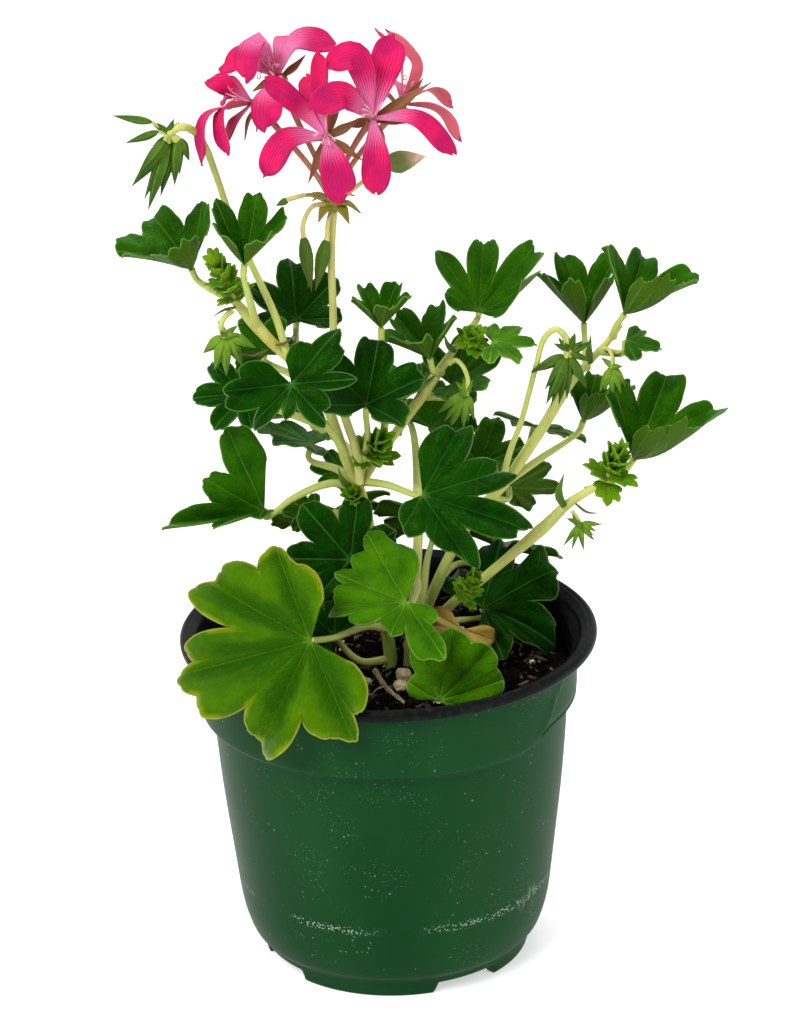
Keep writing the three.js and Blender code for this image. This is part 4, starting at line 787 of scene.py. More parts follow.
# Leaves: name, stem, where the stalk meets the blade, the way the upper face looks, the way the middle lobe
# points, its length, and the stalk's route from its stem. What differs from leafRule follows
leaves = [
    row("leaf_top_left", "left", [-48, -18, 204], [-0.3, -0.32, 0.9], [-1, -0.1, 0.15], 20,
        [[-38, -17, 195], [-43, -18, 198]], cup=42, curl=-8, bends={0: 34, 1: 26, 2: 6, 4: 10},
        lobes=[[-104, 0.8, 0.66], [-56, 0.85, 0.6], [0, 1.05, 0.7], [52, 0.95], [104, 0.9]]),
    row("leaf_top_left_inner", "left", [-34, -24, 206.5], [0.1, -0.25, 1], [0.2, 0.9, 0.1], 19,
        [[-32, -16, 187], [-33, -21, 195]], seed=2, cup=52, curl=4),
    row("leaf_behind_flower_stalk", "left", [-22, 4, 181.6], [0.1, -0.6, 0.8], [-0.1, 0.6, 0.8], 17.5,
        [[-22, -14, 175], [-22, -4, 174]], colour="leafDark", seed=3, cup=22),
    row("leaf_left_outer", "left", [-36, -12, 167], [-0.15, -0.75, 0.65], [-1, -0.1, 0.05], 14,
        [[-12, -10, 155], [-22, -9, 159]], colour="leafDark", seed=4, cup=10),
    row("leaf_left_front", "left", [-23, -28, 175], [0, -0.85, 0.5], [-0.05, -0.4, -0.9], 19,
        [[-8, -8, 142], [-13, -17, 157]], colour="leafDark", seed=5, cup=5, ruffle=0.055, sinus=0.5,
        deeper=0.85, bulge=1.4, toothDepth=0.015, round=1.15, lobes=[[-168, 0.6, 0.62], [-140, 1.02, 0.85],
        [-122, 0.85, 0.5], [-96, 0.9, 0.42], [-60, 0.62, 0.56], [-38, 0.76, 0.3], [8, 0.5, 0.3],
        [36, 0.82, 0.55], [68, 0.96, 0.88], [84, 0.95, 0.7], [104, 0.75]],
        veins=[-140, -96, -42, 14, 42, 82]),
    row("leaf_left_back", "left", [-30.5, -9, 176.8], [0, -0.7, 0.7], [-0.4, 0.4, 0.8], 12.5,
        [[-18, -13, 170], [-24, -8, 171]], seed=6, cup=15),
    row("leaf_left_flat", "left", [-19, -3, 149], [0.25, 0.1, 0.95], [-0.93, 0.1, 0.37], 16.5,
        [[-8, -8, 140], [-12, -7, 143]], seed=7, cup=6),
    row("small_leaf_node", "left", [-11, -2, 141], [0, -0.5, 0.8], [-1, 0, 0.3], 9, [[-7, -8, 138]], seed=8,
        fused=True),
    row("leaf_folded", "left", [-32, -12, 134], [-0.1, -0.62, 0.78], [-0.95, 0, -0.3], 26,
        [[-7, -8, 138], [-14, -9, 140], [-24, -11, 137]], seed=9, curl=8, fold=52, sinus=0.52,
        toothDepth=0.05, bulge=1.4,
        lobes=[[-84, 0.5], [-40, 0.7, 0.5], [0, 1.08, 0.5], [42, 0.72, 0.5], [80, 0.98]]),
    row("leaf_centre_cup", "left", [-4, -18, 165], [0.05, -0.55, 0.83], [0.2, 0.6, 0.7], 19,
        [[-7, -8, 140], [-4, -14, 154]], colour="leafDark", seed=10, cup=32),
    row("leaf_centre_funnel", "left", [0.4, -9, 183.4], [0, -0.1, 1], [0.5, 0.8, 0], 14,
        [[0, -4, 147], [1, -9, 164]], seed=11, cup=52),
    row("leaf_centre_shoot", "left", [13, -1, 171.8], [-0.24, -0.1, 1], [-0.6, 0.7, 0.3], 16.6,
        [[16, 4, 166]], seed=12, cup=48),
    row("leaf_centre_top", "left", [26.5, 9, 181], [0.05, -0.72, 0.68], [0.42, 0.5, 0.75], 24.5,
        [[22, 6, 174]], seed=13, cup=18, bends={5: 12, 0: 25, 6: 30, 7: 50, 8: 60}, sinus=0.5, deeper=0.8,
        bulge=1.7, toothDepth=0.02, teeth=1.6, round=1.2, lobes=[[-92, 0.46, 0.4], [-57, 0.84, 0.36],
        [-24, 0.82, 0.78], [-12, 0.85, 0.38], [14, 0.97, 0.9], [28, 1.0, 0.5], [46, 0.98, 0.86],
        [60, 0.85, 0.6], [74, 0.45]], veins=[-88, -57, -20, 18, 50, 72]),
    row("small_leaf_shoot", "left", [30, -2, 176], [0, -0.3, 0.95], [1, -0.1, 0.15], 11.5, [[22, 6, 173]],
        colour="leafBright"),
    row("leaf_centre_right", "left", [19, 10, 160.2], [-0.1, -0.4, 0.9], [1, 0.1, 0.25], 17, [[12, 2, 160]],
        seed=14, cup=28),
    row("leaf_centre_dark", "centre", [13, 10, 148], [-0.2, -0.55, 0.8], [0.85, 0.3, 0.5], 16,
        [[9, -5, 130], [11, 4, 141]], seed=15, cup=14),
    row("small_leaf_centre", "left", [6, 3, 159], [0.1, -0.1, 1], [0.3, 0.8, 0], 11, [[4, -2, 151]], cup=45,
        fused=True),
    row("leaf_right_funnel", "right", [55, 18, 174], [-0.05, -0.15, 1], [-0.3, 0.9, 0], 21, [[55, 7, 165]],
        seed=16, cup=54, bends={0: 14, 4: 8}),
    row("leaf_right_top", "right", [65, 2.5, 181.5], [0.5, -0.2, 0.85], [0.9, 0.4, 0], 23, [[62, 6, 174]],
        seed=17, cup=48, curl=-4, bends={2: 4, 3: 28, 4: 38, 5: 34},
        lobes=[[-108, 0.9], [-54, 0.85], [0, 1.05], [44, 0.86, 0.76], [84, 0.8, 0.74], [112, 0.7]]),
    row("small_leaf_right", "right", [65, 0.5, 174.5], [0.1, -0.35, 0.9], [1, -0.2, 0], 10, [[59, 6, 170]],
        lobes=[[-62, 0.8], [0, 1], [62, 0.8]]),
    row("leaf_right_middle", "right", [54.5, 14, 147.5], [0.32, -0.25, 0.9], [0.95, 0.3, 0], 18.5,
        [[32, 5, 133], [43, 9, 139]], seed=18, cup=48, bends={2: 4, 3: 22, 4: 30, 5: 26},
        lobes=[[-108, 0.85], [-54, 0.8], [0, 1], [44, 0.86, 0.76], [84, 0.8, 0.74], [112, 0.7]]),
    row("leaf_right_end", "low_right", [67, -3, 142.4], [0.42, -0.36, 0.84], [0.95, 0.2, 0.1], 28,
        [[54, -6.6, 135], [61, -3, 136]], seed=19, cup=46, curl=-4, bends={1: 4, 2: 8, 3: 34, 4: 46, 5: 40},
        lobes=[[-98, 0.8], [-50, 0.95], [-4, 1.06, 0.8], [40, 0.86, 0.78], [72, 0.74, 0.68], [104, 0.66]]),
    row("leaf_right_back", "right", [26.5, 28.5, 129.5], [0.1, -0.35, 0.93], [0.3, 0.8, 0.3], 15,
        [[20, 3, 119], [24, 16, 123]], seed=20, cup=36),
    row("leaf_right_upright", "right", [34, 19.4, 126.6], [0, 0.8, 0.5], [1, 0.2, -0.2], 15.5,
        [[25, 4, 125], [29.5, 12, 126]], seed=21, cup=8),
    row("leaf_inside_rim", "low_right", [26, 5, 96.5], [-0.1, -0.55, 0.8], [0.8, 0.4, 0.05], 24,
        [[9, -4, 90], [15, 1, 94]], colour="leafDark", seed=22, cup=12, curl=-10, wave=0.17, ruffle=0.15,
        bends={0: -20, 2: 12, 3: -25}),
    row("leaf_dying", "low_right", [20, -11, 97.5], [0.3, -0.7, 0.5], [-0.3, -0.5, -0.6], 13.5,
        [[10, -4, 92]], colour="leafDying", seed=23, wave=0.2),
    row("leaf_front", "centre", [5, -33, 115], [-0.05, -0.6, 0.8], [-0.95, -0.1, 0.1], 22,
        [[8, -5, 110], [8, -18, 112]], colour="leafBright", seed=24, cup=3, ruffle=0.03, round=1.4,
        toothDepth=0.012, teeth=1.6, deeper=1.0, bulge=1.9, lobes=[[-140, 0.45, 0.42], [-118, 0.9, 0.86],
        [-104, 0.84, 0.4], [-70, 0.48, 0.44], [-46, 0.42, 0.4], [-16, 0.72, 0.68], [-6, 0.94, 0.85],
        [14, 0.88, 0.78], [30, 0.97, 0.78], [50, 0.93, 0.88], [68, 1.08, 1.0], [86, 0.8]],
        veins=[-118, -64, -30, 2, 28, 66]),
    row("leaf_at_lip", "centre", [13, -35, 87.6], [0.1, -0.95, 0.3], [0.5, 0.2, 0.8], 19.5,
        [[7, -6, 90], [9, -16, 88], [12, -27, 87]], colour="leafBright", seed=26, cup=4, ruffle=0.02,
        sinus=0.7, toothDepth=0.01, round=1.5, lobes=[[-88, 0.5, 0.5], [-50, 0.84, 0.78], [-18, 1, 0.9],
        [16, 1.02, 0.9], [44, 0.93, 0.7], [72, 0.62]]),
    row("leaf_big_dark", "left", [-9.6, -16, 121], [-0.05, -0.95, 0.28], [-0.6, 0.2, 0.7], 19.5,
        [[-1, -6, 99], [-5, -9, 108]], colour="leafDark", seed=27, cup=3, ruffle=0.05, deeper=0.92),
    row("leaf_low_dark", "left", [-14.5, -12.5, 97.5], [0, -0.8, 0.5], [-0.6, 0, 0.7], 14.5,
        [[0, -6, 87], [-8, -10, 88.5]], colour="leafDark", seed=28, cup=5),
    row("leaf_over_rim", "left", [-20, -49, 112], [-0.2, -0.9, 0.4], [-0.94, 0.1, -0.28], 38,
        [[0, -6, 96], [-6, -20, 103], [-14, -36, 107]], colour="leafAged", seed=29, cup=-3, ruffle=0.02,
        sinus=0.68, round=1.15, toothDepth=0.012, teeth=1.5, deeper=1, bulge=1.7, lobes=[[-112, 0.6, 0.58],
        [-99, 0.75, 0.7], [-84, 0.68, 0.54], [-54, 0.88, 0.8], [-41, 0.78, 0.64], [-20, 0.92, 0.9],
        [-2, 1.02, 0.88], [11, 0.92, 0.56], [35, 0.93, 0.82], [53, 0.82, 0.63], [80, 0.71, 0.62], [95, 0.53]],
        veins=[-98, -48, 0, 42, 82]),
    row("leaf_middle_front", "left", [10, -32, 145], [0.05, -0.85, 0.5], [0.93, -0.1, -0.28], 27,
        [[-6, -8, 140], [1, -19, 143]], colour="leafDark", seed=30, cup=4, ruffle=0.055, sinus=0.5,
        deeper=0.82, bulge=1.35, toothDepth=0.015, teeth=1.5, round=1.12, lobes=[[-86, 0.72, 0.7],
        [-70, 0.82, 0.5], [-40, 0.8, 0.74], [-27, 0.93, 0.48], [-1, 1.12, 0.98], [9, 1.0, 0.48],
        [36, 0.9, 0.74], [48, 0.62, 0.36], [92, 0.44, 0.38], [114, 0.34]], veins=[-78, -32, 2, 40, 104]),
    row("small_leaf_left", "left", [-20, 5, 126.4], [0, -0.7, 0.7], [-1, 0, 0.1], 8, [[-5, -7, 122]],
        fused=True),
    row("leaf_back_left", "left", [-20, 18, 150], [-0.3, 0.5, 0.8], [-0.6, 0.7, 0.1], 21,
        [[-7, -8, 138], [-10, 6, 145]], seed=31, cup=20),
    row("leaf_back_centre", "centre", [4, 26, 155], [0, 0.5, 0.85], [0.1, 0.9, 0], 23,
        [[9, -5, 133], [8, 12, 147]], seed=32, cup=20),
    row("leaf_back_right", "right", [42, 36, 138], [0.3, 0.4, 0.85], [0.5, 0.8, -0.1], 17,
        [[35, 5, 137], [40, 20, 139]], seed=33, cup=5, wave=0.02),
    row("leaf_back_low_left", "left", [-14, 28, 118], [-0.2, 0.6, 0.75], [-0.3, 0.9, -0.3], 22,
        [[0, -6, 93], [-3, 12, 108]], seed=34, cup=8),
    row("leaf_back_low_centre", "right", [14, 34, 112], [0.1, 0.7, 0.7], [0.2, 0.8, -0.4], 24,
        [[9, 2, 92], [11, 18, 105]], seed=35, cup=8),
    row("leaf_back_low_right", "right", [33, 24, 106], [0.3, 0.4, 0.85], [0.7, 0.7, -0.1], 18,
        [[10, 2, 97], [19, 19, 104]], seed=36, cup=14),
]

# Nodding clusters of green buds: the bent stalk with its radius, then each bud's base, tip and width
budClusters = {
    "bud_cluster_top_left": {"radius": 1.1, "stalk": [[-24, -17.5, 179], [-27, -14, 189], [-34, -10, 205],
        [-38, -11, 216.5], [-41, -13, 228], [-43, -15, 235], [-46, -18, 240.6], [-49, -20, 242],
        [-52, -20, 240.5]], "buds": [([-56, -20, 243.5], [-66, -20, 245.5], 1.4),
        ([-53, -22, 239], [-60, -24, 231], 2), ([-52, -21, 238], [-62, -21, 227], 2),
        ([-52, -20, 238], [-58, -22, 221], 2.3), ([-51, -19, 238], [-55, -17, 223], 2),
        ([-50, -20, 238], [-51, -21, 227], 2), ([-49, -20, 239], [-47, -20, 233], 1.6),
        ([-53, -18, 239], [-59, -15, 229], 1.8)]},
    "bud_cluster_left": {"radius": 0.9, "open": 1.45,
        "stalk": [[-37.9, -18.8, 192.5], [-40.4, -20.2, 190.4], [-41, -20, 188], [-40, -19, 186]],
        "buds": [([-41, -19, 185.5], [-46, -19, 181], 1.4), ([-40.5, -19, 185], [-43, -21, 177], 1.5),
        ([-40, -19, 185], [-40, -20, 175], 1.5), ([-39, -19, 185], [-36, -18, 177], 1.5),
        ([-38.8, -19, 186], [-32, -19, 182], 1.3)]},
    "bud_cluster_centre": {"radius": 0.8,
        "stalk": [[18.2, 0.6, 169.5], [20, -1, 171], [22, -3, 169.5], [23, -4, 166], [22.5, -4, 163]],
        "buds": [([21.5, -4, 162.5], [14.5, -5, 157.5], 1.7), ([22, -4, 162], [18, -6, 154], 1.7),
        ([22.3, -4, 162], [21.5, -6, 153.5], 1.6), ([22.8, -4, 162], [24.5, -4, 155], 1.5),
        ([22, -3, 163], [19, -1, 157], 1.4)]},
    "bud_cluster_right": {"radius": 0.95, "stalk": [[32.5, 2.4, 137.5], [34, 1, 144], [37, -1, 153],
        [41, -3, 169], [43.5, -3.6, 177.5], [46.5, -4, 180], [49, -4, 177.5], [49.5, -4, 174]],
        "buds": [([48.5, -4, 172.5], [39.5, -4, 168], 2), ([49, -5, 172], [43.5, -7, 160], 2.1),
        ([49.2, -4, 172], [47, -5, 159], 1.9), ([50.2, -4, 172], [54.5, -4, 163], 1.8),
        ([50, -4, 174.5], [51.5, -4.6, 179], 1.3), ([50.6, -4, 173.5], [56, -3, 176], 1.3)]},
    "bud_cluster_far_right": {"radius": 0.7,
        "stalk": [[59.4, 3.4, 171.6], [60.6, 1, 172.2], [61.6, -0.6, 170.5], [61.5, -1, 168]],
        "buds": [([61, -1, 167.6], [58, -1.4, 161], 1.6), ([61.4, -1, 167.2], [61.4, -2, 159.5], 1.6),
        ([62, -1, 167.6], [65, -1, 162], 1.6)]},
    "bud_cluster_low_right": {"radius": 0.6, "stalk": [[50, -8.4, 130], [51.4, -9.4, 128.5], [52, -10, 127]],
        "buds": [([51.8, -10, 126.8], [47.5, -10, 120.5], 1), ([52, -10, 126.6], [53, -11, 119.5], 1.1),
        ([52.4, -10, 127], [58, -10, 126.5], 1.1), ([52.3, -10, 126.6], [56, -10.5, 122], 1)]},
}

# Flower head: one bare stalk, a hub of bracts, and thin stalks to each floret
hub = [-11, -8, 217]
flowerStalk = [[-6.3, -11.8, 141], [-7, -12.4, 150], [-10, -12, 161], [-12, -9, 174], [-12, -8, 190],
               [-12, -8, 204], hub]
bractTips = [[-18, -9, 220], [-4, -10, 215], [-15, -12, 213.5], [-7, -12.5, 213], [-11, -4, 213.5],
             [-16.5, -4, 217], [-5.5, -4, 218]]
hangingBuds = [
    {"stalk": [[-16.5, -9.6, 217], [-19, -11, 212.5], [-19, -11, 209]],
     "bud": ([-19, -11, 209.5], [-17.4, -11, 194.5], 1.75)},
    {"stalk": [[-12.6, -10.5, 212.5], [-13, -10.6, 208]],
     "bud": ([-13, -10.6, 208.5], [-16.4, -10.4, 194.5], 1.8)},
    {"stalk": [[-6, -7, 220.5], [0, -5.5, 224.5], [3, -5.3, 226.8]],
     "bud": ([2.5, -5.2, 226.6], [13.2, -7, 228.9], 2.85)},
    {"stalk": [[-17, -7, 219.4], [-23, -6, 218]], "bud": ([-22.6, -6, 218], [-26, -6, 216.4], 0.9)},
]

# Florets: centre, the way it looks, how pale its petals are, each petal by bend, tip and width, its sepals
# by tip, and the route of its thin stalk
florets = {
    "floret_middle": {"at": [-12, -22, 239.5], "axis": [0, -0.85, 0.5], "pale": 0.2,
        "pedicel": [[-11, -12, 226], [-11.6, -17, 234]], "petals": [([-22, -26, 239.6], [-28, -29, 231], 7),
        ([-10, -28.6, 233], [-8, -28, 224], 8.6), ([-13.4, -19, 250], [-13, -14, 259], 4.5),
        ([-19.5, -22, 248], [-27, -25, 255], 6), ([-15, -14, 247], [-17, -7, 251], 6)],
        "sepals": [[-25, -20, 238.5], [-17, -22, 227], [-3, -20, 232], [-3, -12, 241], [-8, -9, 248]]},
    "floret_right": {"at": [0, -15, 242], "axis": [0.1, -0.85, 0.5], "pale": 0.2,
        "pedicel": [[-9, -8.5, 225], [-4, -10, 235]], "petals": [([-4.6, -17, 258.6], [-11.5, -19, 256], 7.5),
        ([2.6, -12, 252], [6, -5, 260], 8.6), ([-8, -21.5, 249.5], [-15, -27, 247], 8),
        ([0.4, -21, 234], [0, -23, 224], 7.6), ([11, -16, 241.5], [20, -17, 232], 5.5)],
        "sepals": [[11, -10.5, 239], [15, -9, 249], [-1, -6, 252], [-8, -9, 238], [3, -11, 231]]},
    "floret_back": {"at": [8, 5, 241], "axis": [0.35, 0.65, 0.65], "pale": 0.6,
        "pedicel": [[-7, -5, 225], [2, 0, 235]], "petals": [([11.6, 8, 249.5], [3.8, 8, 258.6], 4.6),
        ([7, 13, 250], [1.5, 15, 256.5], 4), ([15, 11, 241.5], [20.4, 13, 236.5], 5.2),
        ([16, 3.6, 238.6], [22.4, 1, 230.4], 5), ([8, 15, 242], [9, 22, 238], 7)],
        "sepals": [[18, 1.5, 234], [13, 1, 247.5], [0, 7, 244], [3, 11, 234]]},
    "floret_top_left": {"at": [-25, -8, 252], "axis": [-0.5, -0.6, 0.6], "pale": 0.8,
        "pedicel": [[-14, -6, 226], [-20, -6, 240]], "petals": [([-19, -9, 261], [-9, -12, 260], 6.5),
        ([-29.5, -11, 261], [-32, -17, 253], 8), ([-25.5, -17, 250], [-27, -23, 241.5], 9.5),
        ([-22, -1, 259], [-18, 6, 258.5], 7), ([-32, -6.5, 256], [-39, -3, 253], 7)],
        "sepals": [[-31, -2, 246], [-17, -3, 255.5], [-19, -11, 246], [-22, 2, 247]]},
    "floret_left": {"at": [-32, -13.5, 246.5], "axis": [-0.85, -0.3, 0.4], "pale": 0.2,
        "pedicel": [[-15, -9, 225], [-24, -12, 238]], "petals": [([-38.5, -20, 246], [-37, -24, 236], 7),
        ([-42, -19, 244.5], [-43.5, -21.5, 233], 6.5), ([-37, -12.5, 250.5], [-42, -13, 252], 5.5),
        ([-36, -6, 248], [-39, 0, 243.5], 7), ([-35.5, -15, 241], [-39, -13, 235], 6)],
        "sepals": [[-33, -14, 236.5], [-30, -18, 242], [-29, -4, 246], [-30, -12, 238]]},
}


# Pot: a fine turned shell with rounded corners, foot gaps, and a slanting fold and a hollow in its band
potSize = {"height": 94.5, "lip": 57, "lipDepth": 2.9, "lipInner": 52.5, "bandBottom": 72.5, "band": 52,
           "bandTop": 53.4, "shoulder": 48.7, "foot": 37, "footHeight": 5, "wall": 1.4, "floor": 7,
           "gapAngle": 29, "gapFirst": 31, "gapDepth": 3.4, "gapEdge": 2.0, "sides": 288}
# The fold starts at an angle that slants up the band, the hollow ends at another. Its lower edge is lifted
notch = {"start": -41, "slant": 13, "curve": 1.2, "end": 26, "fadeIn": 3, "fadeOut": 16, "tall": 18,
         "depth": 0.7, "deeper": 0.9, "ridge": 0.45, "ridgeWidth": 1.3,
         "lift": 3.4, "liftFrom": -49, "liftTo": 46, "liftFade": 20, "liftEdge": 3}


def rounded(profile, passes=2, share=0.22):
    p = np.asarray(profile, float)
    for _ in range(passes):
        a, b = p[:-1], p[1:]
        cut = np.empty((2 * len(a), 2))
        cut[0::2], cut[1::2] = a + (b - a) * share, b - (b - a) * share
        p = np.vstack([p[:1], cut[1:-1], p[-1:]])
    return p


def turned(profile, sides):  # closed at both ends on the axis
    turn = np.linspace(0, 2 * math.pi, sides, endpoint=False)
    r, z = profile[1:-1, :1], np.repeat(profile[1:-1, 1:], sides, 1)
    grid = np.stack([r * np.cos(turn), r * np.sin(turn), z], -1)
    points = np.vstack([grid.reshape(-1, 3), [[0, 0, profile[0, 1]], [0, 0, profile[-1, 1]]]])
    pole, end, loop = r.size * sides, (r.size - 1) * sides, [(j, (j + 1) % sides) for j in range(sides)]
    fans = [[pole, b, a] for a, b in loop] + [[pole + 1, end + a, end + b] for a, b in loop]
    return points, ringQuads(r.size, sides) + fans


def notchDepth(points):  # depth of the hollow, and the angle, the way from the fold and the share up the band
    turn, z, n = np.degrees(np.arctan2(points[:, 1], points[:, 0])), points[:, 2], notch
    share = ramp((z - potSize["bandBottom"]) / n["tall"])
    fold, end = turn - (n["start"] + n["slant"] * share ** n["curve"]), n["end"] - turn
    near = (z > potSize["bandBottom"] + 0.2) & (z < potSize["height"] - 3.5)
    depth = (n["depth"] + n["deeper"] * share) * ramp(fold / n["fadeIn"]) ** 1.5
    return np.where(near, depth * ramp(end / n["fadeOut"]), 0), turn, fold, share


def makePot():
    s, n = potSize, notch
    foot, wall, floor, high = (s[key] for key in ("foot", "wall", "floor", "height"))
    lip, inner = s["lip"], s["lipInner"]
    band, bandTop, shoulder, bottom = (s[key] for key in ("band", "bandTop", "shoulder", "bandBottom"))
    under = high - s["lipDepth"]
    profile = rounded([
        [0, floor - 2.6], [foot - 4.2, floor - 2.6], [foot - 3, 0.2], [foot - 2.6, 0], [foot - 0.4, 0],
        [foot, 0.3], [foot + 0.8, s["footHeight"]], [foot + 2.2, s["footHeight"] + 1], [foot + 3.8, 7.8],
        [foot + 6, 15], [foot + 7.5, 28], [shoulder - 1.6, 50], [shoulder, bottom - 2],
        [shoulder + 0.3, bottom - 1.2], [band - 0.3, bottom + 0.3], [band + 0.1, bottom + 1.2],
        [band + 0.6, 81], [bandTop, under - 0.9], [bandTop + 0.4, under - 0.5], [lip - 0.6, under - 0.3],
        [lip, under + 0.5], [lip, high - 1], [lip - 0.8, high - 0.1], [lip - 1.6, high],
        [lip - 2.1, high - 0.5], [lip - 2.5, high - 0.3], [inner + 1.6, high - 0.7],
        [inner + 0.2, high - 1.4], [bandTop - wall - 0.2, under - 1.6], [band - wall, bottom + 1.6],
        [shoulder - wall, bottom - 1],
        [foot + 7 - wall, 27], [foot + 5.4 - wall, 15], [foot + 2.6 - wall, floor + 2], [foot - 1.6, floor],
        [0, floor]])
    points, faces = turned(profile, s["sides"])
    outer = np.arange(len(points)) < np.argmax(profile[:, 0] > lip - 0.05) * s["sides"]
    x, y, z = points.T
    radius, turn = np.hypot(x, y), np.degrees(np.arctan2(y, x))
    # drain gaps: the foot ring rises over each
    away = np.abs((turn - s["gapFirst"] + 90 + 45) % 90 - 45)
    inGap = 1 - ramp((away - s["gapAngle"] / 2 + 1.2) / s["gapEdge"])
    z[:] = np.where(z < s["gapDepth"], z * (1 - inGap) + s["gapDepth"] * inGap, z)
    hollow, turn, fold, share = notchDepth(points)
    onBand = outer & (z > bottom + 0.2) & (z < under - 0.55)
    ridge = n["ridge"] * np.exp(-(fold / n["ridgeWidth"]) ** 2) * ramp(share * 6)
    fade, edge = n["liftFade"], n["liftEdge"]
    smooth = ramp((turn - n["liftFrom"]) / fade) * ramp((n["liftTo"] - turn) / fade)
    rise = z - bottom
    z += n["lift"] * smooth ** 2 * (3 - 2 * smooth) * ramp((rise + 6) / edge) * ramp((5 - rise) / edge)
    push = np.where(radius > 40, np.where(onBand, ridge, 0) - hollow, 0)
    points[:, :2] *= (1 + push / np.maximum(radius, 1))[:, None]
    height = np.append(np.repeat(profile[1:-1, 1], s["sides"]), [0, 0])
    black = np.where(outer & (height < under - 0.42), 0.0, 1.0)
    dress(newPiece("potShell", points, faces, [looks["pot"]], {"black": black}), "pot_plastic", "pot")


makePot()
print("pot turned")


# Soil: a filled body with an uneven top, strewn with crumbs, bark and small mineral bits
soilSize = {"level": 83, "rings": 46, "sides": 150, "edge": 50.5, "topEdge": 49.8, "calm": 3,
            "leastCalm": 0.25, "clearFrom": 44, "clearOver": 5, "mound": 1.6, "moundSpread": 500,
            "body": [[0, 7.35], [35, 7.35], [39.8, 14], [46.7, 71.5], [50, 75.5], [50.5, 82.2]]}
strewn = {  # look, slot, number per square metre, seed, smallest and largest size in mm, tilt
    "soilCrumbs": ("crumb", "soil", 420000, 8, (0.3, 0.3, 0.25), (1.15, 1.0, 0.8), 1.0),
    "soilBark": ("bark", "twig", 90000, 9, (0.7, 0.25, 0.14), (2.6, 0.8, 0.45), 0.5),
    "soilBits": ("chip", "mineral_chip", 9000, 10, (0.4, 0.4, 0.3), (1.5, 1.3, 1.0), 1.0),
}


def soilRise(x, y):
    bumps = np.sin(x * 0.31 + 1) * np.cos(y * 0.27) + 0.6 * np.sin((x - y) * 0.19)
    rise = 0.9 * bumps + soilSize["mound"] * np.exp(-(x * x + y * y) / soilSize["moundSpread"])
    layers = ((0.16, 3, 1.5), (0.5, 9, 0.8), (1.1, 5, 0.35))  # pitch, layer and height
    return rise + np.array([sum(noise.noise(Vector((a * pitch, b * pitch, layer))) * height
                                for pitch, layer, height in layers) for a, b in zip(x, y)])


def crumbShape():
    points, faces = ballMesh(4, 6)
    return points * np.random.default_rng(4).uniform(0.65, 1.2, (len(points), 1)), faces


def strew(piece, shape, look, density, seed, smallest, largest, tilt):
    return strewer.run(piece, Shape=shape, Density=float(density), Seed=seed, Tilt=tilt, Material=looks[look],
                       Smallest=[v * mm for v in smallest], Largest=[v * mm for v in largest])


def makeSoil():
    s = soilSize
    top = [[r, s["level"]] for r in np.linspace(s["topEdge"], 0, s["rings"])]
    points, faces = turned(np.array(s["body"] + top), s["sides"])
    upper = points[:, 2] > s["level"] - 0.1
    x, y = points[upper, 0], points[upper, 1]
    calm = np.clip((s["edge"] - np.hypot(x, y)) / s["calm"], s["leastCalm"], 1)
    radius = np.hypot(points[:, 0], points[:, 1])  # the body stays clear of the hollow in the pot's band
    inward = notchDepth(points)[0] * ramp((radius - s["clearFrom"]) / s["clearOver"])
    points[:, :2] *= (1 - inward / np.maximum(radius, 1))[:, None]
    points[upper, 2] += soilRise(x, y) * calm
    dress(newPiece("soilBody", points, faces, [looks["soil"]]), "soil", "soil")
    topFaces = [face for face in faces if upper[face].all()]
    crumb = template("crumbShape", *crumbShape())
    for name, (look, slot, *rest) in strewn.items():
        dress(strew(newPiece(name, points, topFaces), crumb, look, *rest), slot)


makeSoil()


# Mineral chips and a dry twig with its side shoot, pressed into the soil
chips = [
    {"at": [-10, -22, 84.2], "size": [5, 4.6, 3.6], "turn": 20},
    {"at": [-6.5, -16, 84.6], "size": [4.2, 4, 3.2], "turn": 70},
    {"at": [4, -12.4, 85.2], "size": [4.2, 5.2, 3.6], "turn": 35},
    {"at": [3, -18, 84.4], "size": [4.6, 4, 3.4], "turn": 100},
]
chipSwell = 0.56  # radius against size: a little over half, for what the noise takes away
twig = {"points": [[-4, -12, 86.6], [-1, -19, 84.6], [4, -27, 83.4]], "radii": [0.8, 0.7, 0.5],
        "shoot": [[-1, -19, 84.9], [-3.5, -22, 85.4], [-5, -24, 84.6]], "shootRadii": [0.35, 0.2]}


def makeChips():
    for i, chip in enumerate(chips, 1):
        points, faces = ballMesh(16, 22)
        rough = [0.86 + 0.26 * noise.noise(Vector(p) * 1.3 + Vector((i * 9, 0, 0)))
                 + 0.13 * noise.noise(Vector(p) * 3.7 + Vector((i * 5, 1, 0))) for p in points]
        points = points * np.array(rough)[:, None] * np.array(chip["size"]) * chipSwell
        turn = np.array(Matrix.Rotation(math.radians(chip["turn"]), 3, "Z"))
        points = points @ turn.T + np.array(chip["at"])
        piece = newPiece(f"mineralChip{i}", points, faces, [looks["chip"]])
        dress(piece, "mineral_chip", f"mineral_chip_{i}")
    radii = np.interp(np.linspace(0, 2, 12), [0, 1, 2], twig["radii"])
    lines = Lines()
    lines.add(twig["points"], [v * (1 + 0.18 * math.sin(i * 2.3)) for i, v in enumerate(radii)])
    lines.add(twig["shoot"], twig["shootRadii"])
    dress(lines.tubes("dryTwig", "twig", 9, 0.5, 0.1), "twig", "dry_twig")


makeChips()
print("soil, chips and twig laid")


# Leaves: one piece each
leafSlots = {"leafBright": "leaf_bright", "leafAged": "leaf_aged", "leafDying": "leaf_dying"}


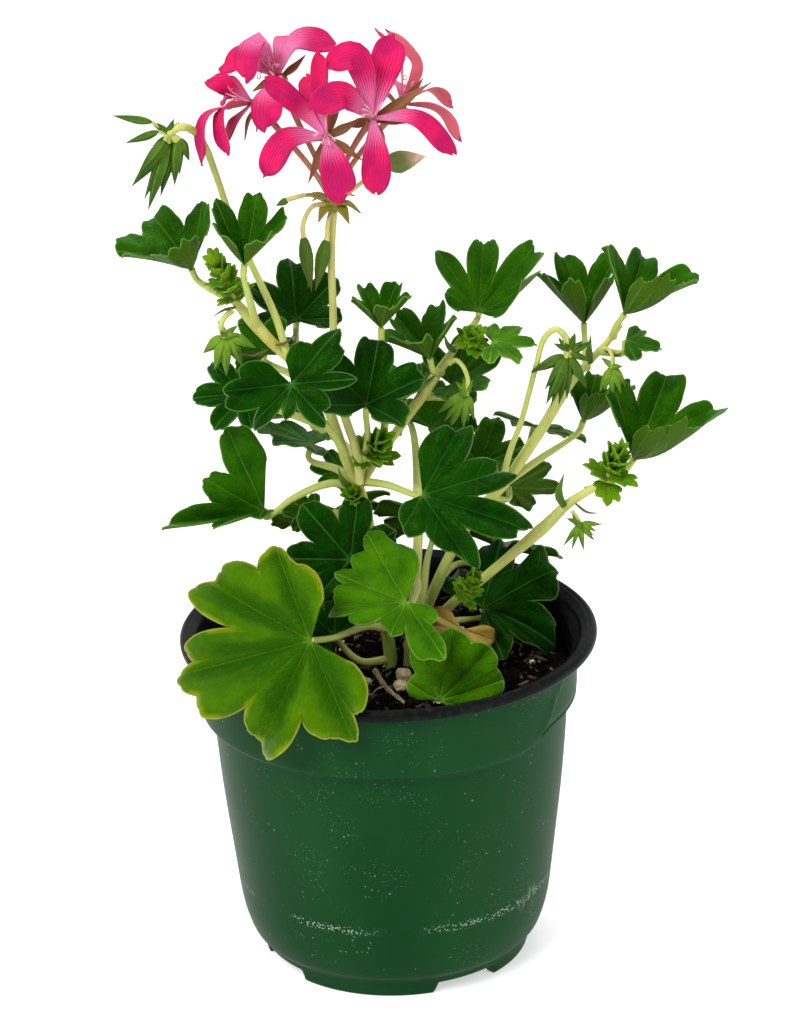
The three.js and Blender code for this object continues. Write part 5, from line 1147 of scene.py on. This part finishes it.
def makeLeaves():
    single = [leaf for leaf in leaves if not leaf.get("fused")]
    for leaf in single:
        colour = leaf.get("colour", "leaf")
        points, faces, values = placedBlade(leaf)
        piece = newPiece(camel(leaf["name"]) + "Blade", points, faces, [looks[colour]], values)
        dress(piece, leafSlots.get(colour, "leaf"), leaf["name"])
    print("leaves made:", len(single))


makeLeaves()


# Stems with the stalks of their leaves, shoot tips and tiny leaves
stemSize = {"stalk": 1.08, "stalkEnd": 0.8, "gap": 0.2, "bend": 4, "sides": 14, "rib": 0.035, "slim": 0.93}
tipSize = {"leaves": 13, "turn": 2.4, "lean": 1.5, "upright": 1.1, "length": 0.68, "shorter": 0.16,
           "wide": 0.85}
knots = [[-7, -8, 138, 1], [-28, -15, 182, 0.55], [-37, -17, 194, 0.4], [21, 6, 174, 0.4], [9, 1, 158, 0.35],
         [49, -6, 131, 0.3], [61, 6, 173, 0.3], [33, 5, 134, 0.25]]  # last number: how yellow


def shootTip(spots, at, toward, size, seed, long):
    s, axis, dice = tipSize, unit(toward), np.random.default_rng(50 + seed)
    side = unit(np.cross([0.3, 1, 0.2], axis))
    other = np.cross(axis, side)
    for i in range(s["leaves"]):
        share, turn = i / (s["leaves"] - 1), i * s["turn"] + seed
        out = side * math.cos(turn) + other * math.sin(turn)
        lean = s["lean"] - s["upright"] * share + dice.uniform(-0.3, 0.3)
        length = size * (s["length"] - s["shorter"] * share) * dice.uniform(0.8, 1.2)
        spots.add(np.array(at) + axis * size * (long * share - 0.1) + out * 0.4,
                  axis * math.cos(lean) + out * math.sin(lean), axis * math.sin(lean) - out * math.cos(lean),
                  (length * s["wide"], length * s["wide"], length))


def makeStems():
    s, leafShape = stemSize, template("youngLeafShape", *youngLeaf())
    thick, end = s["stalk"], s["stalkEnd"]
    for name, stem in stems.items():
        lines, tiny, spots = Lines(), Heap(), Spots()
        for path, radii in stem["parts"]:
            green = [1, 0.55, 0.1, 0, 0] if path[0][2] < 80 else 0.0  # darker where it leaves the soil
            lines.add(path, [r * s["slim"] for r in radii], green, knots)
        for leaf in (leaf for leaf in leaves if leaf["stem"] == name):
            at, face = np.array(leaf["at"]), unit(leaf["face"])
            lines.add([*leaf["stalk"], at - face * s["bend"], at - face * s["gap"]],
                      [thick * 1.15, thick, thick * 0.9, end, end * 1.15], [0.15, 0.45, 0.6], knots)
            if leaf.get("fused"):
                tiny.add(*placedBlade(leaf))
        dress(lines.tubes(camel(name) + "Skin", "stem", s["sides"], 0.8, s["rib"]), "stem", name)
        if tiny.count:
            dress(tiny.piece(camel(name) + "SmallLeaves", "leaf"), "stem", name)
        for tuft in stem["tufts"]:
            shootTip(spots, *tuft)
        if spots.points:
            dress(spots.shapes(camel(name) + "ShootTips", leafShape, "leafYoung"), "stem", name)


makeStems()
print("stems grown")


# Stipules: thin pointed scales at the joints, by foot, bend, tip and width. The broad ones are green
stipules = [
    ("stem_left", [-27, -17, 182], [-24, -19, 183.5], [-21, -20, 187], 0.7),
    ("stem_left", [-29, -17, 181], [-33, -19, 180], [-37, -20, 181.5], 0.7),
    ("stem_left", [-24, -16, 178], [-22, -18, 181], [-22, -18, 185], 0.7),
    ("stem_left", [-37, -18, 193], [-40, -20, 193], [-43, -21, 191.5], 0.7),
    ("stem_left", [-9, -10, 139], [-11, -12, 142], [-12, -13, 146], 1.8),
    ("stem_left", [20, 3, 172], [18, 1, 174.5], [17, 0, 178], 1.6),
    ("stem_right", [60, 4.5, 171], [62, 2, 170], [65, 1, 171.5], 0.7),
    ("stem_right", [53, 5, 164], [50, 3, 166.5], [49, 2, 171], 1.8),
    ("stem_right", [56, 5, 167], [55.5, 3, 171], [56, 2, 176], 2.0),
    ("stem_right", [33, 3, 135], [31, 1, 137], [30.5, 0, 140.5], 1.3),
    ("stem_low_right", [48, -7.5, 131], [46.5, -8.4, 135], [48, -9, 141], 2.3),
    ("stem_low_right", [51, -8, 132], [54, -9.5, 130], [57.5, -10, 129.8], 0.7),
    ("stem_low_right", [14, -6, 99], [12, -8, 101], [11.5, -9, 104], 0.7),
]
stipuleShape = {"claw": 0.6, "widest": 0.4, "stations": 9, "columns": 5, "thickness": 0.3, "cup": 0.3}


def makeStipules():
    heaps = {}
    for i, (stem, start, via, tip, width) in enumerate(stipules):
        heap = heaps.setdefault((stem, "stipuleGreen" if width > 1 else "stipule"), Heap())
        heap.add(*strapMesh(start, via, tip, [0.1, -1, 0.3], width, stipuleShape, seed=i))
    for (stem, look), heap in heaps.items():
        dress(heap.piece(camel(stem) + look[0].upper() + look[1:], look), "stem", stem)


makeStipules()
print("stipules set")


# Nodding bud clusters
clusterSize = {"slim": 0.74, "budStalk": [0.6, 0.45], "bracts": 4, "bractWidth": 0.8, "bractLength": 3.6,
               "hairs": 700000, "hairSeed": 20, "hairShort": 0.3, "hairLong": 0.65, "hairTilt": 0.5,
               "grown": ("bud_cluster_top_left", "bud_cluster_right")}
hairShape = ([[0.03, 0, 0], [-0.015, 0.026, 0], [-0.015, -0.026, 0], [0, 0, 1.0]],
             [[0, 1, 3], [1, 2, 3], [2, 0, 3], [0, 2, 1]])


def makeClusters():
    s, budTemplate, hair = clusterSize, template("budShape", *budShape()), template("hairShape", *hairShape)
    for number, (name, cluster) in enumerate(budClusters.items()):
        radius, root = cluster["radius"], np.array(cluster["stalk"][-1])
        lines, spots, dice = Lines(), Spots(), np.random.default_rng(number)
        lines.add(cluster["stalk"], [radius * 0.95, radius * 0.8, radius * 0.8, radius], 0.3)
        between = [[np.add(a[0], b[0]) / 2, np.add(a[1], b[1]) / 2 + dice.normal(size=3) * 0.8,
                    (a[2] + b[2]) * 0.42] for a, b in zip(cluster["buds"], cluster["buds"][1:])]
        for start, tip, width in cluster["buds"] + ([] if "open" in cluster else between):
            start, tip = np.array(start, float), np.array(tip, float)
            width = width * s["slim"] * cluster.get("open", 1)
            lines.add([root, (start + root) / 2, start], s["budStalk"], 0.5, step=0.4)
            spots.add(start, tip - start, dice.normal(size=3), (width, width, np.linalg.norm(tip - start)))
        for _ in range(s["bracts"]):
            away = unit(dice.normal(size=3) + np.array([0, 0, 0.6]))
            size = (s["bractWidth"], s["bractWidth"], s["bractLength"] + radius)
            spots.add(root - away * 0.3, away, (0, 0, 1), size)
        dress(lines.tubes(camel(name) + "Stalk", "stem", 12, 0.6), "stem", name)
        look = "bud" if name in s["grown"] else "budYoung"
        buds = dress(spots.shapes(camel(name) + "Buds", budTemplate, look), "bud", name)
        fuzz = place(camel(name) + "Hairs", buds.data.copy())
        dress(strew(fuzz, hair, "hair", s["hairs"], s["hairSeed"] + number, [s["hairShort"]] * 3,
                    [s["hairLong"]] * 3, s["hairTilt"]), "bud", name)


makeClusters()
print("bud clusters hung")


# Flower head: bare stalk, hub of bracts, thin stalks, sepals, hanging buds and five florets
headSize = {"hub": 2.1, "knobs": 0.35, "calyx": 1.5, "drop": 3, "pedicel": 0.78, "sepal": 2.6, "bract": 3.6,
            "stalk": [1.25, 1.15, 1.05, 1.0, 1.15], "budStalk": [0.72, 0.6, 0.7], "sepalFoot": 0.6}
bractShape = {"thickness": 0.4}
sepalShape = {"widest": 0.42, "cup": 0.32}
petalShape = {"pointed": False, "claw": 0.17, "widest": 0.72, "wedge": 1.3, "cup": 0.16, "ruffle": 0.55,
              "wave": 0.35, "stations": 22, "columns": 11, "nick": 0.6}
threadSize = {"count": 5, "short": 3.2, "tall": 5.5, "radii": [0.16, 0.13, 0.12, 0.2]}
threadCurl = [(0, 0, 0), (0.5, 0, 0.6), (1, 0, 1.6), (1, 0.9, 2.7), (1, 0.2, 3.5), (1, -0.6, 3.0),
              (1, -0.1, 2.4)]  # share of the rise, mm above it, mm sideways


def makeHead():
    def dressHead(piece):
        dress(piece, "flower_stalk", "flower_head_stalks")

    s, thin = headSize, headSize["pedicel"]
    lines, sepals, bracts = Lines(), Heap(), Heap()
    lines.add(flowerStalk, s["stalk"], [0.0, 0.0, 0.12])
    for i, tip in enumerate(bractTips):
        via = np.array(hub) * 0.45 + np.array(tip) * 0.55 + np.array([0, 0, 1.2])
        bracts.add(*strapMesh(hub, via, tip, [0, 0, 1], s["bract"], bractShape, seed=i))
    ball, ballFaces = ballMesh(12, 16)
    knobby = ball * (s["hub"] + s["knobs"] * np.sin(ball @ np.array([[4.0], [5], [3]])))
    bracts.add(knobby + np.array(hub), ballFaces, {"along": 0.1, "across": 0.0, "pale": 0.0, "under": 0.0})
    for stalk in hangingBuds:
        lines.add([hub, *stalk["stalk"]], s["budStalk"], [0.5, 0.25, 0.05])
    for i, flower in enumerate(florets.values()):
        axis = unit(flower["axis"])
        calyx = np.array(flower["at"]) - axis * s["drop"]
        lines.add([hub, *flower["pedicel"], calyx], [thin, thin * 0.95, thin * 1.25], [0.75, 1, 1])
        foot = axis * s["sepalFoot"]
        sepals.add(ball * s["calyx"] + calyx + foot, ballFaces,
                   {"along": 0.3, "across": 0.5, "pale": 0.0, "under": 0.0})
        for j, tip in enumerate(flower["sepals"]):
            via = (calyx + np.array(tip)) / 2 - foot * (1 if j % 2 else -1)
            sepals.add(*strapMesh(calyx + unit(np.array(tip) - calyx), via, tip, axis, s["sepal"], sepalShape,
                                  seed=i + j))
    dressHead(lines.tubes("flowerStalks", "flowerStalk", 12, 0.7, 0.02))
    dressHead(sepals.piece("flowerSepals", "sepal"))
    dressHead(bracts.piece("flowerBracts", "bract"))
    budTemplate = template("flowerBudShape", *budShape())
    for label, look, some in (("flowerHangingBuds", "budOlive", (0, 1, 3)),
                              ("flowerClosedBud", "closedBud", (2,))):
        spots = Spots()
        for start, tip, width in (hangingBuds[i]["bud"] for i in some):
            way = np.array(tip) - np.array(start)
            spots.add(start, way, (0.3, -1, 0.2), (width, width, np.linalg.norm(way)))
        dressHead(spots.shapes(label, budTemplate, look))


def makeFlorets():
    s = threadSize
    for number, (name, flower) in enumerate(florets.items()):
        axis, at = unit(flower["axis"]), np.array(flower["at"], float)
        petals, threads, dice = Heap(), Lines(), np.random.default_rng(30 + number)
        for i, (via, tip, width) in enumerate(flower["petals"]):
            foot = at + unit(np.array(via) - at) * 0.3 - axis * 1.4
            petals.add(*strapMesh(foot, via, tip, flower["axis"], width, petalShape, pale=flower["pale"],
                                  lop=1.1 * math.sin(number * 3 + i * 2.2), seed=number * 7 + i))
        side = unit(np.cross(axis, [0.2, 0.1, 1]))
        other, root = np.cross(axis, side), at - axis * 0.8
        for _ in range(s["count"]):  # curled threads in the throat
            a = dice.uniform(0, 2 * math.pi)
            lean, rise = side * math.cos(a) + other * math.sin(a), dice.uniform(s["short"], s["tall"])
            curl = [root + axis * (rise * share + up) + lean * out for share, up, out in threadCurl]
            threads.add(curl, s["radii"], step=0.3)
        dress(petals.piece(camel(name) + "Petals", "petal"), "petal", name)
        dress(threads.tubes(camel(name) + "Threads", "filament", 6, 0.35), "petal", name)


makeHead()
makeFlorets()
print("flower head opened")


# Floor and soft studio light. Each lamp has its power, its size and its place in metres
studio = {"floor": (0.7, 0.7, 0.7), "floorHalf": 9, "glow": 0.5, "front": 0.05, "behind": 0.95,
          "aim": (0, 0, 0.12)}
lamps = {"keyLight": (30, 0.8, (-0.75, -1.0, 1.25)), "fillLight": (9, 1.1, (1.1, -0.8, 0.7)),
         "topLight": (12, 1.0, (0.1, 0.5, 1.5))}


def makeStudio():
    s, far = studio, studio["floorHalf"]
    floorLook = Look("studioFloor").finish(s["floor"], 0.9, specular=0.0, glow=s["glow"],
                                           glowColour=(1, 1, 1, 1))
    newPiece("studioFloor", [[-far, -far, 0], [far, -far, 0], [far, far, 0], [-far, far, 0]],
                      [[0, 1, 2, 3]], [floorLook], ownScale=True)
    world = bpy.data.worlds.new("studioWorld")
    world.use_nodes = True
    net = Net(world.node_tree)
    way = net.add("ShaderNodeTexCoord", out="Generated").part("Y")  # dark room in front, white walls behind
    shade = way.fade(-0.55, 0.5).pick([s["front"]] * 3, [s["behind"]] * 3)
    world.node_tree.links.new(shade.socket, world.node_tree.nodes["Background"].inputs["Color"])
    bpy.context.scene.world = world
    for name, (power, size, at) in lamps.items():
        data = bpy.data.lights.new(name, "AREA")
        data.energy, data.size = power, size
        turn = (Vector(s["aim"]) - Vector(at)).to_track_quat("-Z", "Y").to_matrix().to_4x4()
        place(name, data).matrix_world = Matrix.Translation(at) @ turn
    bpy.context.scene.view_settings.view_transform = "Standard"


makeStudio()
